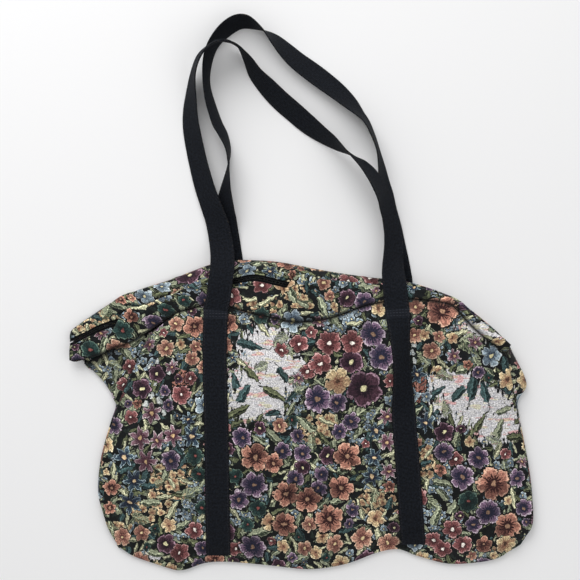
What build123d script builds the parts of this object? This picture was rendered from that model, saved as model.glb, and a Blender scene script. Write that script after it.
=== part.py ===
from build123d import *
from math import cos, exp, hypot, radians, sin
import os

os.makedirs("parts", exist_ok=True)

# A soft tapestry travel bag, empty and lying flat on its back, its two webbing
# handles laid out beyond its top. X runs across the bag, Y up towards the
# handles and Z up from the floor. The origin is on the floor, under the middle.

# Overall sizes, in millimetres
bag_width = 571.4
bag_height = 378.8
handle_reach = 303.0
total_length = bag_height + handle_reach
bag_bottom = -total_length / 2
bag_top = bag_bottom + bag_height

# Cloth, webbing and the room between layers
cloth = 1.6
webbing_width = 30.0
webbing_thickness = 1.8
layer_gap = 0.3
strap_gap = 1.0
seam_gap = 0.7

# How far the front swells above its own seams, and where it is fullest
front_swell = 25.0
swell_scale = 1.22

# Zip: tapes and coils
tape_width = 7.6
tape_thickness = 0.6
tape_part = 1.6
coil_width = 2.2
coil_height = 1.3
coil_gap = 0.2
coil_clearance = 0.12
coil_from_end = 8.0
zip_opening = 8.4
stop_length = 2.0
stop_height = 1.5

# Slider, the bail on its face and the pull that hangs in the bail
slider_length = 12.0
slider_width = 7.2
slider_plate = 1.1
slider_clearance = 0.35
slider_corner = 1.8
slider_from_end = 9.5
flange_width = 0.9
divider_width = 1.0
divider_length = 2.6
bail_length = 7.6
bail_rise = 3.0
bail_bar = 1.0
bail_width = 2.0
pull_length = 21.0
pull_width = 6.0
pull_thickness = 1.0
pull_pin_radius = 0.7
pull_window_length = 3.9
pull_window_width = 3.0
pull_hole_radius = 1.1

# Heights of the layers, from the floor up
back_panel_low = webbing_thickness + layer_gap
back_panel_high = back_panel_low + cloth
pleat_low = back_panel_high + layer_gap
pleat_gap = 1.0
pleat_high = pleat_low + 2 * cloth + pleat_gap
up = Vector(0, 0, 1)


def place(across, height):
    """A point of the bag, in percent of its width from the middle and of its height."""
    return Vector(across / 100 * bag_width, bag_bottom + height / 100 * bag_height, 0)


def beyond(across, height):
    """A point of a handle, in percent of the bag's width and of the handle's reach."""
    return Vector(across / 100 * bag_width, bag_top + height / 100 * handle_reach, 0)


def flow(values, t):
    """A smooth value through all of the values, where t runs from 0 to 1."""
    spans = len(values) - 1
    at = min(max(t, 0.0), 1.0) * spans
    i = min(int(at), spans - 1)
    s = at - i
    before = values[i - 1] if i > 0 else values[i] * 2 - values[i + 1]
    after = values[i + 2] if i + 2 <= spans else values[i + 1] * 2 - values[i]
    here = values[i]
    there = values[i + 1]
    turn = (before * 2 - here * 5 + there * 4 - after) * (s * s)
    ease = (here * 3 - before - there * 3 + after) * (s * s * s)
    return (here * 2 + (there - before) * s + turn + ease) * 0.5


def offset_points(points, distance):
    """The open line of 2D points moved to its right-hand side by a distance."""
    moved = []
    for i, (a, z) in enumerate(points):
        normals = []
        for j in (i - 1, i):
            if 0 <= j < len(points) - 1:
                da = points[j + 1][0] - points[j][0]
                dz = points[j + 1][1] - points[j][1]
                size = hypot(da, dz)
                normals.append((dz / size, -da / size))
        na = sum(n[0] for n in normals) / len(normals)
        nz = sum(n[1] for n in normals) / len(normals)
        size = na * na + nz * nz
        moved.append((a + na / size * distance, z + nz / size * distance))
    return moved


# Top gusset: each station is a straight line across it, from the outer edge of
# the bag (O) to the seam with the front panel (I), in percent of the bag, then
# the zip's distance from O, its height and roll, the fold's kind, the seam's height
stations = [
    ((-50.0, 76.6), (-50.0, 67.6), 13.5, 9.0, 0, "open", 10.5),
    ((-48.8, 77.9), (-48.0, 67.2), 14.5, 9.5, 0, "open", 11.5),
    ((-43.5, 82.8), (-42.2, 70.2), 18.0, 10.5, 0, "open", 14.0),
    ((-38.5, 87.3), (-36.6, 73.7), 26.0, 12.0, 0, "rolled", 18.0),
    ((-33.8, 89.9), (-31.0, 78.6), 26.0, 13.0, 0, "rolled", 22.0),
    ((-27.8, 92.8), (-25.7, 83.4), 23.0, 14.0, 0, "rolled", 26.5),
    ((-19.5, 98.0), (-19.0, 85.7), 25.0, 14.5, 0, "rolled", 28.0),
    ((-14.3, 99.6), (-13.0, 83.8), 24.0, 16.5, 0, "open", 28.0),
    ((-9.8, 100.0), (-9.8, 82.5), 22.0, 17.5, 0, "open", 28.0),
    ((-5.2, 99.4), (-5.7, 81.2), 25.0, 16.5, 0, "open", 28.5),
    ((-1.0, 98.3), (-1.0, 79.9), 26.0, 15.0, 0, "rolled", 29.0),
    ((6.3, 96.2), (6.3, 81.2), 21.5, 14.0, 0, "rolled", 29.5),
    ((14.8, 94.2), (14.4, 85.4), 16.5, 14.0, 8, "rolled", 30.0),
    ((22.1, 92.8), (22.1, 87.3), 13.0, 14.0, 35, "shoulder", 30.5),
    ((27.7, 90.2), (27.4, 86.9), 11.0, 14.3, 70, "shoulder", 30.0),
    ((31.2, 88.2), (30.0, 86.3), 10.5, 14.5, 88, "shoulder", 30.0),
]
shoulder_start = place(33.5, 86.7)
shoulder_end = place(45.1, 72.5)
shoulder_seams = [8.0, 11.0, 13.0, 13.0, 12.5]
shoulder_inset = 10.5
shoulder_zip_height = 15.0
shoulder_height = 29.5

# How the front strip folds between the zip and its seam: three points, across
# from the zip's middle and up from it. An open stretch is eased in a straight line.
folds = {
    "rolled": [(9.5, 5.5), (-7.0, 9.0), (-5.0, 13.0)],
    "shoulder": [(-4.0, 8.5), (-8.0, 10.0), (-8.2, 13.5)],
}


class Station:
    """One line across the top gusset, with the zip's place on it."""

    def __init__(self, outer, inner, inset, height, roll, kind, seam_height):
        self.outer = outer
        self.inward = (inner - outer).normalized()
        self.reach = (inner - outer).length
        self.inset = inset
        self.height = height
        self.roll = roll
        self.seam_height = seam_height
        self.bulge = folds.get(kind) or self.eased()

    def eased(self):
        start = self.inset + zip_opening / 2 + 4
        low = self.height + cloth
        points = []
        for part, rise in ((0.3, 2.0), (0.55, 2.6), (0.8, 1.6)):
            a = start + part * (self.reach - start)
            z = low + part * (self.seam_height - low) + rise
            points.append((a - self.inset, z - self.height))
        return points


gusset = [Station(place(*o), place(*i), *rest) for o, i, *rest in stations]
shoulder_line = (shoulder_end - shoulder_start).normalized()
shoulder_inward = Vector(shoulder_line.Y, -shoulder_line.X, 0)
for step, seam in enumerate(shoulder_seams):
    spot = shoulder_start + (shoulder_end - shoulder_start) * (step / (len(shoulder_seams) - 1))
    gusset.append(
        Station(spot, spot + shoulder_inward * seam, shoulder_inset,
                shoulder_zip_height, 90, "shoulder", shoulder_height - step * 0.6)
    )

outers = [s.outer for s in gusset]
inwards = [s.inward for s in gusset]
seams = [s.outer + s.inward * s.reach + up * s.seam_height for s in gusset]
insets = [s.inset for s in gusset]
zip_heights = [s.height for s in gusset]
rolls = [s.roll for s in gusset]
reaches = [s.reach for s in gusset]
bulges = [[Vector(s.bulge[k][0], s.bulge[k][1], 0) for s in gusset] for k in range(3)]


def zip_frame(t):
    """The zip's middle, its direction across towards the front, and its outward normal."""
    inward = flow(inwards, t).normalized()
    middle = flow(outers, t) + inward * flow(insets, t) + up * flow(zip_heights, t)
    roll = radians(flow(rolls, t))
    across = inward * cos(roll) + up * sin(roll)
    normal = up * cos(roll) - inward * sin(roll)
    return middle, across, normal


def gusset_plane(t):
    """The upright plane of one line across the gusset, its X inward and its Y up."""
    inward = flow(inwards, t).normalized()
    return Plane(origin=flow(outers, t), x_dir=inward, z_dir=inward.cross(up))


def front_strip_line(t):
    """The outer face of the front strip, from beside the zip to the front panel's seam."""
    roll = radians(flow(rolls, t))
    inset = flow(insets, t)
    height = flow(zip_heights, t)
    lift = cloth + layer_gap
    points = []
    for along in (zip_opening / 2, zip_opening / 2 + 4.5):
        a = inset + along * cos(roll) - lift * sin(roll)
        points.append((a, height + along * sin(roll) + lift * cos(roll)))
    for k in range(3):
        bend = flow(bulges[k], t)
        points.append((inset + bend.X, height + bend.Y))
    points.append((flow(reaches, t), flow(seams, t).Z))
    return points


def back_strip_line(t):
    """The outer face of the back strip, from the bag's outer edge to beside the zip."""
    roll = radians(flow(rolls, t))
    inset = flow(insets, t)
    height = flow(zip_heights, t)
    lift = cloth + layer_gap
    points = []
    for along in (zip_opening / 2 + 4.5, zip_opening / 2):
        a = inset - along * cos(roll) - lift * sin(roll)
        points.append((a, height - along * sin(roll) + lift * cos(roll)))
    foot = (0.9, pleat_low + 2 * cloth)
    first = points[0]
    rise = 0.14 * (first[0] - foot[0]) * cos(roll) + 0.3
    line = [(foot[0], pleat_low + cloth * 0.6), foot]
    for part in (0.4, 0.75):
        a = foot[0] + part * (first[0] - foot[0])
        line.append((a, foot[1] + part * (first[1] - foot[1]) + rise))
    return line + points


strip_spans = 28
strip_steps = [i / strip_spans for i in range(strip_spans + 1)]

with BuildPart() as front_top_strip:
    for t in strip_steps:
        outer_face = front_strip_line(t)
        with BuildSketch(gusset_plane(t)):
            Polygon(*outer_face, *offset_points(outer_face, cloth)[::-1], align=None)
    loft(ruled=True)
front_top_strip.part.label = "front_top_strip"

with BuildPart() as back_top_strip:
    for t in strip_steps:
        outer_face = back_strip_line(t)
        with BuildSketch(gusset_plane(t)):
            Polygon(*outer_face, *offset_points(outer_face, cloth)[::-1], align=None)
    loft(ruled=True)
back_top_strip.part.label = "back_top_strip"

# End panels: each station is a line from the bag's outer edge, where the panel
# leaves the back, to where it meets the front. Where it shows it is one sloping
# sheet, and below that it is folded inward into a pleat between front and back.
# A station is (outer point, far point or pleat depth, height at the front seam).
left_end = [
    ((-47.0, 66.2), (-27.2, 81.0), 21.0),
    ((-44.8, 63.4), (-30.6, 77.6), 20.0),
    ((-43.0, 60.5), (-33.4, 72.6), 18.5),
    ((-41.3, 57.2), (-35.4, 66.0), 16.5),
    ((-40.3, 54.7), (-37.9, 58.0), 12.0),
    ((-39.5, 52.1), 7.0, 0),
    ((-40.7, 45.9), 14.0, 0),
    ((-42.7, 34.6), 26.0, 0),
    ((-43.3, 23.7), 29.0, 0),
    ((-41.9, 15.6), 16.0, 0),
]
right_end = [
    ((45.6, 71.4), (43.7, 69.2), 25.5),
    ((46.8, 66.9), (44.7, 65.4), 22.5),
    ((47.9, 61.4), (45.4, 60.3), 19.5),
    ((47.9, 57.9), (45.6, 56.8), 16.5),
    ((46.4, 54.0), 6.0, 0),
    ((46.9, 48.2), 12.0, 0),
    ((48.8, 34.0), 25.0, 0),
    ((49.9, 23.3), 29.0, 0),
    ((49.9, 15.4), 15.0, 0),
]
end_foot = 0.9


def end_panel_section(outer, far, seam_height, inward):
    """The plane of a line across an end panel, and its outer face from back to front."""
    foot = pleat_low + cloth
    plane = Plane(origin=outer, x_dir=inward, z_dir=inward.cross(up))
    if isinstance(far, Vector):
        reach = (far - outer).length
        rise = seam_height - foot
        line = [(end_foot, foot), (end_foot + reach * 0.12, foot + rise * 0.34)]
        line += [(reach * 0.55, foot + rise * 0.72), (reach, seam_height)]
    else:
        inner = end_foot + far
        line = [(end_foot, foot), (inner, foot)]
        line += [(inner, foot + pleat_gap), (end_foot, foot + pleat_gap)]
    return plane, line


def end_panel_sections(rows, away):
    """The sections of an end panel, where away points along the bag's middle line."""
    marks = [place(*outer) for outer, far, height in rows]
    sections = []
    for i, (outer, far, height) in enumerate(rows):
        if isinstance(far, tuple):
            target = place(*far)
            inward = (target - marks[i]).normalized()
        else:
            target = far
            along = (marks[min(i + 1, len(marks) - 1)] - marks[i - 1]).normalized()
            inward = Vector(along.Y, -along.X, 0) * away
        sections.append(end_panel_section(marks[i], target, height, inward))
    return sections


with BuildPart() as left_end_panel:
    for plane, outer_face in end_panel_sections(left_end, -1):
        with BuildSketch(plane):
            Polygon(*outer_face, *offset_points(outer_face, cloth)[::-1], align=None)
    loft(ruled=True)
left_end_panel.part.label = "left_end_panel"

with BuildPart() as right_end_panel:
    for plane, outer_face in end_panel_sections(right_end, 1):
        with BuildSketch(plane):
            Polygon(*outer_face, *offset_points(outer_face, cloth)[::-1], align=None)
    loft(ruled=True)
right_end_panel.part.label = "right_end_panel"

# Bottom edge of the bag, from its left corner to its right one
bottom_edge = [
    place(*point)
    for point in [
        (-38.6, 7.8), (-35.1, 4.8), (-28.8, 0.6), (-25.5, 0.0), (-20.6, 2.3),
        (-15.2, 2.6), (-6.9, 1.5), (2.2, 0.2), (10.2, 1.9), (17.0, 5.6),
        (21.7, 6.6), (26.1, 4.3), (33.4, 1.8), (41.6, 3.6), (46.8, 8.2),
    ]
]

# Back panel: one flat sheet on the floor, cut to the whole outline of the bag
top_edge = [s.outer for s in gusset]
left_edge = [place(*outer) for outer, far, height in left_end]
right_edge = [place(*outer) for outer, far, height in right_end]

with BuildPart() as back_panel:
    with BuildSketch(Plane.XY.offset(back_panel_low)):
        with BuildLine():
            Spline(*top_edge[: len(stations)], *top_edge[len(stations) :: 2])
            Spline(top_edge[-1], *right_edge, bottom_edge[-1])
            Spline(*bottom_edge[::-1])
            Spline(bottom_edge[0], *left_edge[::-1], top_edge[0])
        make_face()
    extrude(amount=cloth)
back_panel.part.label = "back_panel"

# Front panel: a smooth sheet between its four seams, swollen in the middle and
# crossed by a few soft folds. Each fold is (across, up, heading in degrees,
# half length, half width, rise), in percent of the bag and in millimetres.
front_foot = pleat_high + layer_gap
bottom_foot = pleat_low
soft_folds = [
    (12.0, 35.0, 38, 60.0, 16.0, 2.5),
    (-29.0, 56.0, -55, 70.0, 16.0, 2.5),
    (34.0, 62.0, -42, 70.0, 16.0, 2.5),
    (36.0, 22.0, -58, 70.0, 16.0, 2.5),
]


def fold_height(spot):
    """How far the soft folds lift or lower the front at a point."""
    total = 0.0
    for across, height, heading, half_length, half_width, rise in soft_folds:
        away = spot - place(across, height)
        along = away.X * cos(radians(heading)) + away.Y * sin(radians(heading))
        off = away.Y * cos(radians(heading)) - away.X * sin(radians(heading))
        total += rise * exp(-((along / half_length) ** 2) - (off / half_width) ** 2)
    return total


front_top = [s + i * seam_gap for s, i in zip(seams[5:], inwards[5:])]
left_seam = [place(-38.4, 8.2), place(-41.0, 14.6), place(-42.9, 23.7), place(-42.3, 34.6),
             place(-40.3, 46.0), place(-38.9, 52.4), place(-37.2, 58.6), place(-34.7, 66.6),
             place(-32.6, 73.4), place(-29.8, 78.4)]
left_rise = [bottom_foot + 0.5, front_foot, front_foot, front_foot, front_foot, 11.5, 15.0, 19.5,
             22.0, 24.5]
right_seam = [place(46.2, 8.6), place(49.0, 14.0), place(49.3, 23.3), place(48.3, 34.0),
              place(46.5, 48.2), place(45.6, 53.6), place(45.1, 57.0), place(44.9, 60.4),
              place(44.2, 65.4)]
right_rise = [bottom_foot + 0.5, front_foot, front_foot, front_foot, front_foot, 13.5, 18.0, 21.5, 24.5]
front_left = [p + up * z for p, z in zip(left_seam, left_rise)] + [front_top[0]]
front_right = [p + up * z for p, z in zip(right_seam, right_rise)] + [front_top[-1]]
front_bottom = [p + up * bottom_foot for p in bottom_edge[1:-1]]
front_bottom = [front_left[0]] + front_bottom + [front_right[0]]


def front_point(u, v):
    """A point of the front's inner face, u across from the left and v up from the bottom."""
    low = flow(front_bottom, u)
    high = flow(front_top, u)
    left = flow(front_left, v)
    right = flow(front_right, v)
    corners = (front_left[0] * (1 - u) + front_right[0] * u) * (1 - v)
    corners += (front_left[-1] * (1 - u) + front_right[-1] * u) * v
    point = low * (1 - v) + high * v + left * (1 - u) + right * u - corners
    sides = 1 - (2 * u - 1) ** 4
    ends = (1 - (1 - v) ** 3) * (1 - v ** 4) * swell_scale
    inside = min(1.0, 6 * u, 6 * (1 - u), 6 * v, 6 * (1 - v))
    return point + up * (front_swell * sides * ends + inside * fold_height(point))


front_columns = 30
front_rows = 20
front_fit = 0.3
front_grid = [
    [front_point(i / front_columns, j / front_rows) for i in range(front_columns + 1)]
    for j in range(front_rows + 1)
]
front_face = Face.make_surface_from_array_of_points(
    front_grid, tol=front_fit, smoothing=(1, 1, 1), min_deg=3, max_deg=5
)

with BuildPart() as front_panel:
    extrude(front_face, amount=cloth, dir=(0, 0, 1))
front_panel.part.label = "front_panel"

# Webbing: each handle is one length, from the bottom seam up one side of the
# bag, round the free loop and down the other side. A loop point is (across, up,
# roll in degrees, height of its lower selvedge).
front_left_strap = [place(-17.8, 3.6), place(-17.9, 20.7), place(-18.1, 48.2), place(-18.4, 70.5),
                    place(-18.2, 84.0)]
front_right_strap = [place(24.4, 7.2), place(23.7, 18.4), place(22.9, 33.6), place(22.1, 48.2),
                     place(21.6, 62.7), place(21.0, 76.5), place(20.6, 84.2)]
back_left_strap = [place(-17.0, 6.0), place(-16.5, 40.0), place(-15.2, 80.0)]
back_right_strap = [place(23.0, 9.0), place(22.6, 40.0), place(22.2, 78.0)]
front_loop = [
    (-17.6, -15.0, 0, 32.0), (-17.3, -10.0, 0, 32.0), (-16.9, -4.0, 2, 27.0), (-16.9, 2.0, 6, 15.0),
    (-17.3, 8.0, 14, 6.0), (-18.1, 15.3, 22, 3.2), (-19.4, 22.5, 30, 2.8), (-20.8, 30.2, 35, 1.0),
    (-22.2, 40.0, 38, 0.3), (-23.2, 49.0, 41, 0.3), (-23.8, 57.0, 48, 0.3), (-23.8, 64.5, 57, 0.8),
    (-23.4, 72.0, 68, 5.0), (-22.4, 79.0, 75, 19.0), (-20.8, 83.6, 79, 28.5), (-19.2, 86.4, 80, 30.0),
    (-17.8, 87.6, 79, 29.0), (-16.3, 88.0, 78, 23.0), (-14.6, 87.6, 80, 15.0), (-12.9, 85.6, 90, 7.0),
    (-11.5, 81.6, 107, 2.0), (-9.8, 75.8, 122, 0.3), (-7.2, 70.4, 134, 0.3), (-4.6, 65.4, 140, 0.3),
    (-1.6, 60.5, 141, 0.3), (1.4, 55.7, 137, 0.3), (4.4, 51.3, 126, 0.5), (7.3, 47.5, 111, 2.0),
    (9.7, 44.5, 92, 8.0), (12.0, 41.0, 74, 19.0), (13.9, 37.2, 64, 28.0), (15.4, 33.2, 58, 31.0),
    (16.8, 28.8, 54, 25.0), (18.0, 24.3, 49, 13.0), (19.1, 19.0, 45, 6.0), (19.8, 13.5, 41, 4.6),
    (20.1, 7.0, 36, 4.8), (20.0, 1.0, 30, 9.0), (19.9, -4.0, 20, 18.0), (20.0, -8.0, 8, 27.0),
    (20.2, -12.5, 0, 33.0), (20.4, -16.5, 0, 34.0),
]
back_loop = [
    (-15.0, -6.0, 0, 0.0), (-15.2, 0.0, 0, 0.0), (-15.5, 4.0, 0, 0.0), (-15.8, 8.0, 4, 0.1),
    (-16.3, 15.3, 14, 0.2), (-16.3, 22.5, 42, 0.3), (-16.1, 30.2, 66, 0.5), (-15.6, 38.5, 86, 1.0), (-15.6, 45.2, 99, 0.8),
    (-16.7, 51.3, 110, 0.4), (-18.0, 56.0, 113, 0.3), (-19.3, 63.5, 110, 0.3), (-20.2, 71.5, 104, 0.3),
    (-20.2, 79.0, 106, 0.3), (-19.5, 85.2, 110, 0.3), (-18.1, 90.1, 114, 0.3), (-15.9, 94.4, 121, 0.3),
    (-13.5, 97.0, 120, 0.3), (-11.3, 96.9, 112, 0.5), (-8.7, 94.4, 90, 1.0), (-5.6, 89.8, 60, 0.3),
    (-3.0, 85.2, 44, 0.3), (-0.6, 81.2, 36, 0.3), (2.4, 77.0, 31, 0.3), (5.3, 72.9, 32, 0.3),
    (8.0, 68.8, 38, 0.3), (10.5, 64.4, 50, 0.3), (12.6, 60.0, 66, 0.3), (14.2, 56.4, 74, 0.3),
    (15.6, 51.0, 78, 0.3), (16.8, 44.4, 79, 0.3), (17.5, 37.7, 70, 0.3), (18.0, 31.0, 58, 0.3),
    (18.6, 26.0, 51, 0.3), (19.2, 19.5, 46, 0.3), (20.0, 12.0, 38, 0.3), (20.6, 5.0, 30, 0.2),
    (21.1, -1.5, 14, 0.1), (21.4, -5.0, 3, 0.0), (21.7, -8.5, 0, 0.0), (21.9, -15.0, 0, 0.0),
]
strap_steps = 14
loop_cuts = 1


def front_height(x, y):
    """The height of the front panel's outer face."""
    hits = front_face.find_intersection_points(Axis((x, y, -50), (0, 0, 1)))
    return max(spot.Z for spot, normal in hits) + cloth


def webbing_on_front(route, t):
    """The plane of the webbing's section where it lies sewn on the front panel."""
    here = flow(route, t)
    ahead = (flow(route, min(t + 0.02, 1)) - flow(route, max(t - 0.02, 0))).normalized()
    side = ahead.cross(up)
    spots = [here + side * (k * webbing_width / 4) for k in (-2, -1, 0, 1, 2)]
    heights = [front_height(p.X, p.Y) for p in spots]
    slope = (heights[-1] - heights[0]) / webbing_width
    bows = [h - heights[2] - slope * k * webbing_width / 4 for k, h in zip((-2, -1, 0, 1, 2), heights)]
    x_dir = (side + up * slope).normalized()
    rise = heights[2] + max(bows) + strap_gap + webbing_thickness / 2
    return Vector(here.X, here.Y, rise), x_dir, ahead


def webbing_in_loop(loop, count):
    """The planes of the webbing's section round its free loop."""
    middles = []
    for across, height, roll, low in loop:
        tilt = abs(sin(radians(roll))) * webbing_width / 2
        tilt += abs(cos(radians(roll))) * webbing_thickness / 2
        middles.append(beyond(across, height) + up * (low + tilt))
    rolls_round = [roll for across, height, roll, low in loop]
    spans = (len(loop) - 1) * count
    found = []
    for i in range(spans + 1):
        t = i / spans
        ahead = (flow(middles, t + 0.004) - flow(middles, t - 0.004)).normalized()
        side = ahead.cross(up).normalized()
        lifted = side.cross(ahead)
        roll = radians(flow(rolls_round, t))
        found.append((flow(middles, t), side * cos(roll) + lifted * sin(roll), ahead))
    return found


def webbing_under_back(route, t):
    """The plane of the webbing's section where it lies flat under the back panel."""
    ahead = (flow(route, min(t + 0.02, 1)) - flow(route, max(t - 0.02, 0))).normalized()
    return flow(route, t) + up * webbing_thickness / 2, ahead.cross(up), ahead


def turned(section):
    """A section seen from its other end, for the leg that runs down the bag."""
    spot, side, ahead = section
    return spot, side * -1, ahead * -1


legs = [(i / strap_steps) ** 1.3 for i in range(strap_steps + 1)]
front_webbing_sections = [webbing_on_front(front_left_strap, t) for t in legs]
front_webbing_sections += webbing_in_loop(front_loop, loop_cuts)
front_webbing_sections += [turned(webbing_on_front(front_right_strap, t)) for t in legs[::-1]]
back_webbing_sections = [webbing_under_back(back_left_strap, t) for t in legs[::2]]
back_webbing_sections += webbing_in_loop(back_loop, loop_cuts)
back_webbing_sections += [turned(webbing_under_back(back_right_strap, t)) for t in legs[::-2]]

with BuildPart() as front_webbing:
    for spot, side, ahead in front_webbing_sections:
        with BuildSketch(Plane(origin=spot, x_dir=side, z_dir=ahead)):
            Rectangle(webbing_width, webbing_thickness)
    loft(ruled=True)
front_webbing.part.label = "front_webbing"

with BuildPart() as back_webbing:
    for spot, side, ahead in back_webbing_sections:
        with BuildSketch(Plane(origin=spot, x_dir=side, z_dir=ahead)):
            Rectangle(webbing_width, webbing_thickness)
    loft(ruled=True)
back_webbing.part.label = "back_webbing"

# Zip tapes: two narrow bands, either side of the coils and just under the cloth
zip_end_middle, across, zip_end_normal = zip_frame(1)
slider_middle = zip_end_middle - shoulder_line * slider_from_end
tape_offset = (tape_part + tape_width) / 2


def zip_plane(t):
    """The plane across the zip at one place, its X towards the front and its Y outward."""
    middle, across, normal = zip_frame(t)
    return Plane(origin=middle, x_dir=across, z_dir=across.cross(normal))


with BuildPart() as front_zip_tape:
    for t in strip_steps:
        with BuildSketch(zip_plane(t)):
            with Locations((tape_offset, -tape_thickness / 2)):
                Rectangle(tape_width, tape_thickness)
    loft(ruled=True)
front_zip_tape.part.label = "front_zip_tape"

with BuildPart() as back_zip_tape:
    for t in strip_steps:
        with BuildSketch(zip_plane(t)):
            with Locations((-tape_offset, -tape_thickness / 2)):
                Rectangle(tape_width, tape_thickness)
    loft(ruled=True)
back_zip_tape.part.label = "back_zip_tape"

# Zip coils: one band of wound monofilament sewn along the inner edge of each tape,
# closed against each other as far as the slider's divider
fine_steps = 400
fine_places = [zip_frame(i / fine_steps)[0] for i in range(fine_steps + 1)]
lengths = [0.0]
for here, there in zip(fine_places, fine_places[1:]):
    lengths.append(lengths[-1] + (there - here).length)


def along_zip(distance):
    """Where along the gusset the zip has run for a distance."""
    for i in range(fine_steps):
        if lengths[i + 1] >= distance:
            return (i + (distance - lengths[i]) / (lengths[i + 1] - lengths[i])) / fine_steps
    return 1.0


coil_start = along_zip(coil_from_end)
coil_end = along_zip(lengths[-1] - slider_from_end + slider_length / 2 - divider_length - 1.2)
coil_steps = [coil_start + (coil_end - coil_start) * i / strip_spans for i in range(strip_spans + 1)]
coil_offset = coil_gap / 2 + coil_width / 2
coil_middle = coil_clearance + coil_height / 2

with BuildPart() as front_zip_coil:
    for t in coil_steps:
        with BuildSketch(zip_plane(t)):
            with Locations((coil_offset, coil_middle)):
                Rectangle(coil_width, coil_height)
    loft(ruled=True)
front_zip_coil.part.label = "front_zip_coil"

with BuildPart() as back_zip_coil:
    for t in coil_steps:
        with BuildSketch(zip_plane(t)):
            with Locations((-coil_offset, coil_middle)):
                Rectangle(coil_width, coil_height)
    loft(ruled=True)
back_zip_coil.part.label = "back_zip_coil"

# Zip stops: a block across both tapes at the left end, and one on each tape at
# the right end, where the slider comes to rest
stop_width = 2.4
stop_low = coil_clearance

with BuildPart() as zip_end_stop:
    middle, across, normal = zip_frame(along_zip(coil_from_end - stop_length))
    along = normal.cross(across)
    spot = Plane(origin=middle + normal * (stop_low + stop_height / 2), x_dir=along, z_dir=normal)
    with Locations(spot):
        Box(stop_length, 2 * coil_width + 1.4, stop_height)
zip_end_stop.part.label = "zip_end_stop"

end_plane = Plane(origin=zip_end_middle, x_dir=shoulder_line, z_dir=zip_end_normal)
slider_plane = Plane(origin=slider_middle, x_dir=shoulder_line, z_dir=zip_end_normal)

with BuildPart() as zip_top_stops:
    with BuildSketch(end_plane.offset(stop_low)):
        inward_by = slider_from_end - slider_length / 2 - slider_clearance - stop_length / 2
        side_by = tape_part / 2 + stop_width / 2
        with Locations((-inward_by, side_by), (-inward_by, -side_by)):
            Rectangle(stop_length, stop_width)
    extrude(amount=stop_height)
zip_top_stops.part.label = "zip_top_stops"

# Slider: two plates that hold the coils between them, flanges that keep the tapes
# in, a divider between the two coils at the leading end, and a bail for the pull
face_low = coil_clearance + coil_height + slider_clearance
face_high = face_low + slider_plate
under_high = -tape_thickness - slider_clearance
side_plane = Plane(origin=slider_middle, x_dir=shoulder_line, z_dir=shoulder_line.cross(zip_end_normal))

with BuildPart() as zip_slider:
    with BuildSketch(slider_plane.offset(face_low)):
        RectangleRounded(slider_length, slider_width, slider_corner)
    extrude(amount=slider_plate)
    with BuildSketch(slider_plane.offset(slider_clearance)):
        with GridLocations(1, slider_width - flange_width, 1, 2):
            Rectangle(slider_length - 2 * slider_corner, flange_width)
    extrude(amount=face_low - slider_clearance)
    with BuildSketch(slider_plane.offset(under_high - slider_plate)):
        RectangleRounded(slider_length, slider_width, slider_corner)
    extrude(amount=slider_plate)
    with BuildSketch(slider_plane.offset(under_high)):
        with Locations(((slider_length - divider_length) / 2 - 0.4, 0)):
            Rectangle(divider_length, divider_width)
    extrude(amount=face_low - under_high)
    with BuildSketch(side_plane):
        with Locations((0, face_high + bail_rise / 2)):
            Rectangle(bail_length, bail_rise)
        with Locations((0, face_high + (bail_rise - bail_bar) / 2)):
            Rectangle(bail_length - 2 * bail_bar, bail_rise - bail_bar, mode=Mode.SUBTRACT)
    extrude(amount=bail_width / 2, both=True)
zip_slider.part.label = "zip_slider"

# Pull: a flat tab whose end bar turns under the bail, which passes through its window
pull_height = face_high + (bail_rise - bail_bar) / 2
pull_end = pull_pin_radius - 0.1

with BuildPart() as zip_pull:
    with BuildSketch(slider_plane.offset(pull_height - pull_thickness / 2)):
        with Locations((pull_end - pull_length / 2, 0)):
            RectangleRounded(pull_length, pull_width, pull_width / 4)
        with Locations((-pull_pin_radius - pull_window_length / 2, 0)):
            Rectangle(pull_window_length, pull_window_width, mode=Mode.SUBTRACT)
        with Locations((pull_end - pull_length + pull_width / 2, 0)):
            Circle(pull_hole_radius, mode=Mode.SUBTRACT)
    extrude(amount=pull_thickness)
    with BuildSketch(side_plane):
        with Locations((0, pull_height)):
            Circle(pull_pin_radius)
    extrude(amount=pull_width / 2 - pull_width / 4, both=True)
zip_pull.part.label = "zip_pull"

pieces = [
    front_panel, back_panel, left_end_panel, right_end_panel,
    front_top_strip, back_top_strip, front_webbing, back_webbing,
    front_zip_tape, back_zip_tape, front_zip_coil, back_zip_coil,
    zip_end_stop, zip_top_stops, zip_slider, zip_pull,
]
for piece in pieces:
    export_step(piece.part, "parts/" + piece.part.label + ".step")
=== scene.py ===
import math
import random

import bmesh
import bpy
import numpy as np
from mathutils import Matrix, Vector
from mathutils.bvhtree import BVHTree


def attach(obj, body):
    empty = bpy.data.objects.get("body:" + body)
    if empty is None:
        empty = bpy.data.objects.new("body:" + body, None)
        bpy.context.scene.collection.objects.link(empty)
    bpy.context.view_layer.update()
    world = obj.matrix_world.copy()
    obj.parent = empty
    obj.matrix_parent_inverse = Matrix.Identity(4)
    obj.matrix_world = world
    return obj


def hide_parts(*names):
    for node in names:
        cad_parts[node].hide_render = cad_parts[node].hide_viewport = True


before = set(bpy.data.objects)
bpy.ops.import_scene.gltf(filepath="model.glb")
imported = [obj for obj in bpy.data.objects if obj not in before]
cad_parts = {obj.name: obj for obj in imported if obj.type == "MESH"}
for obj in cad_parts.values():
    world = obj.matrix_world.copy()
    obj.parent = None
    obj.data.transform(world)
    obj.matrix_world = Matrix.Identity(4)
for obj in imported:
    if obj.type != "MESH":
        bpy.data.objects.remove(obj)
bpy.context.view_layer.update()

# Places here are in millimetres, with the bag's handles towards +Y, and a mesh is in metres
mm = 0.001
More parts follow.
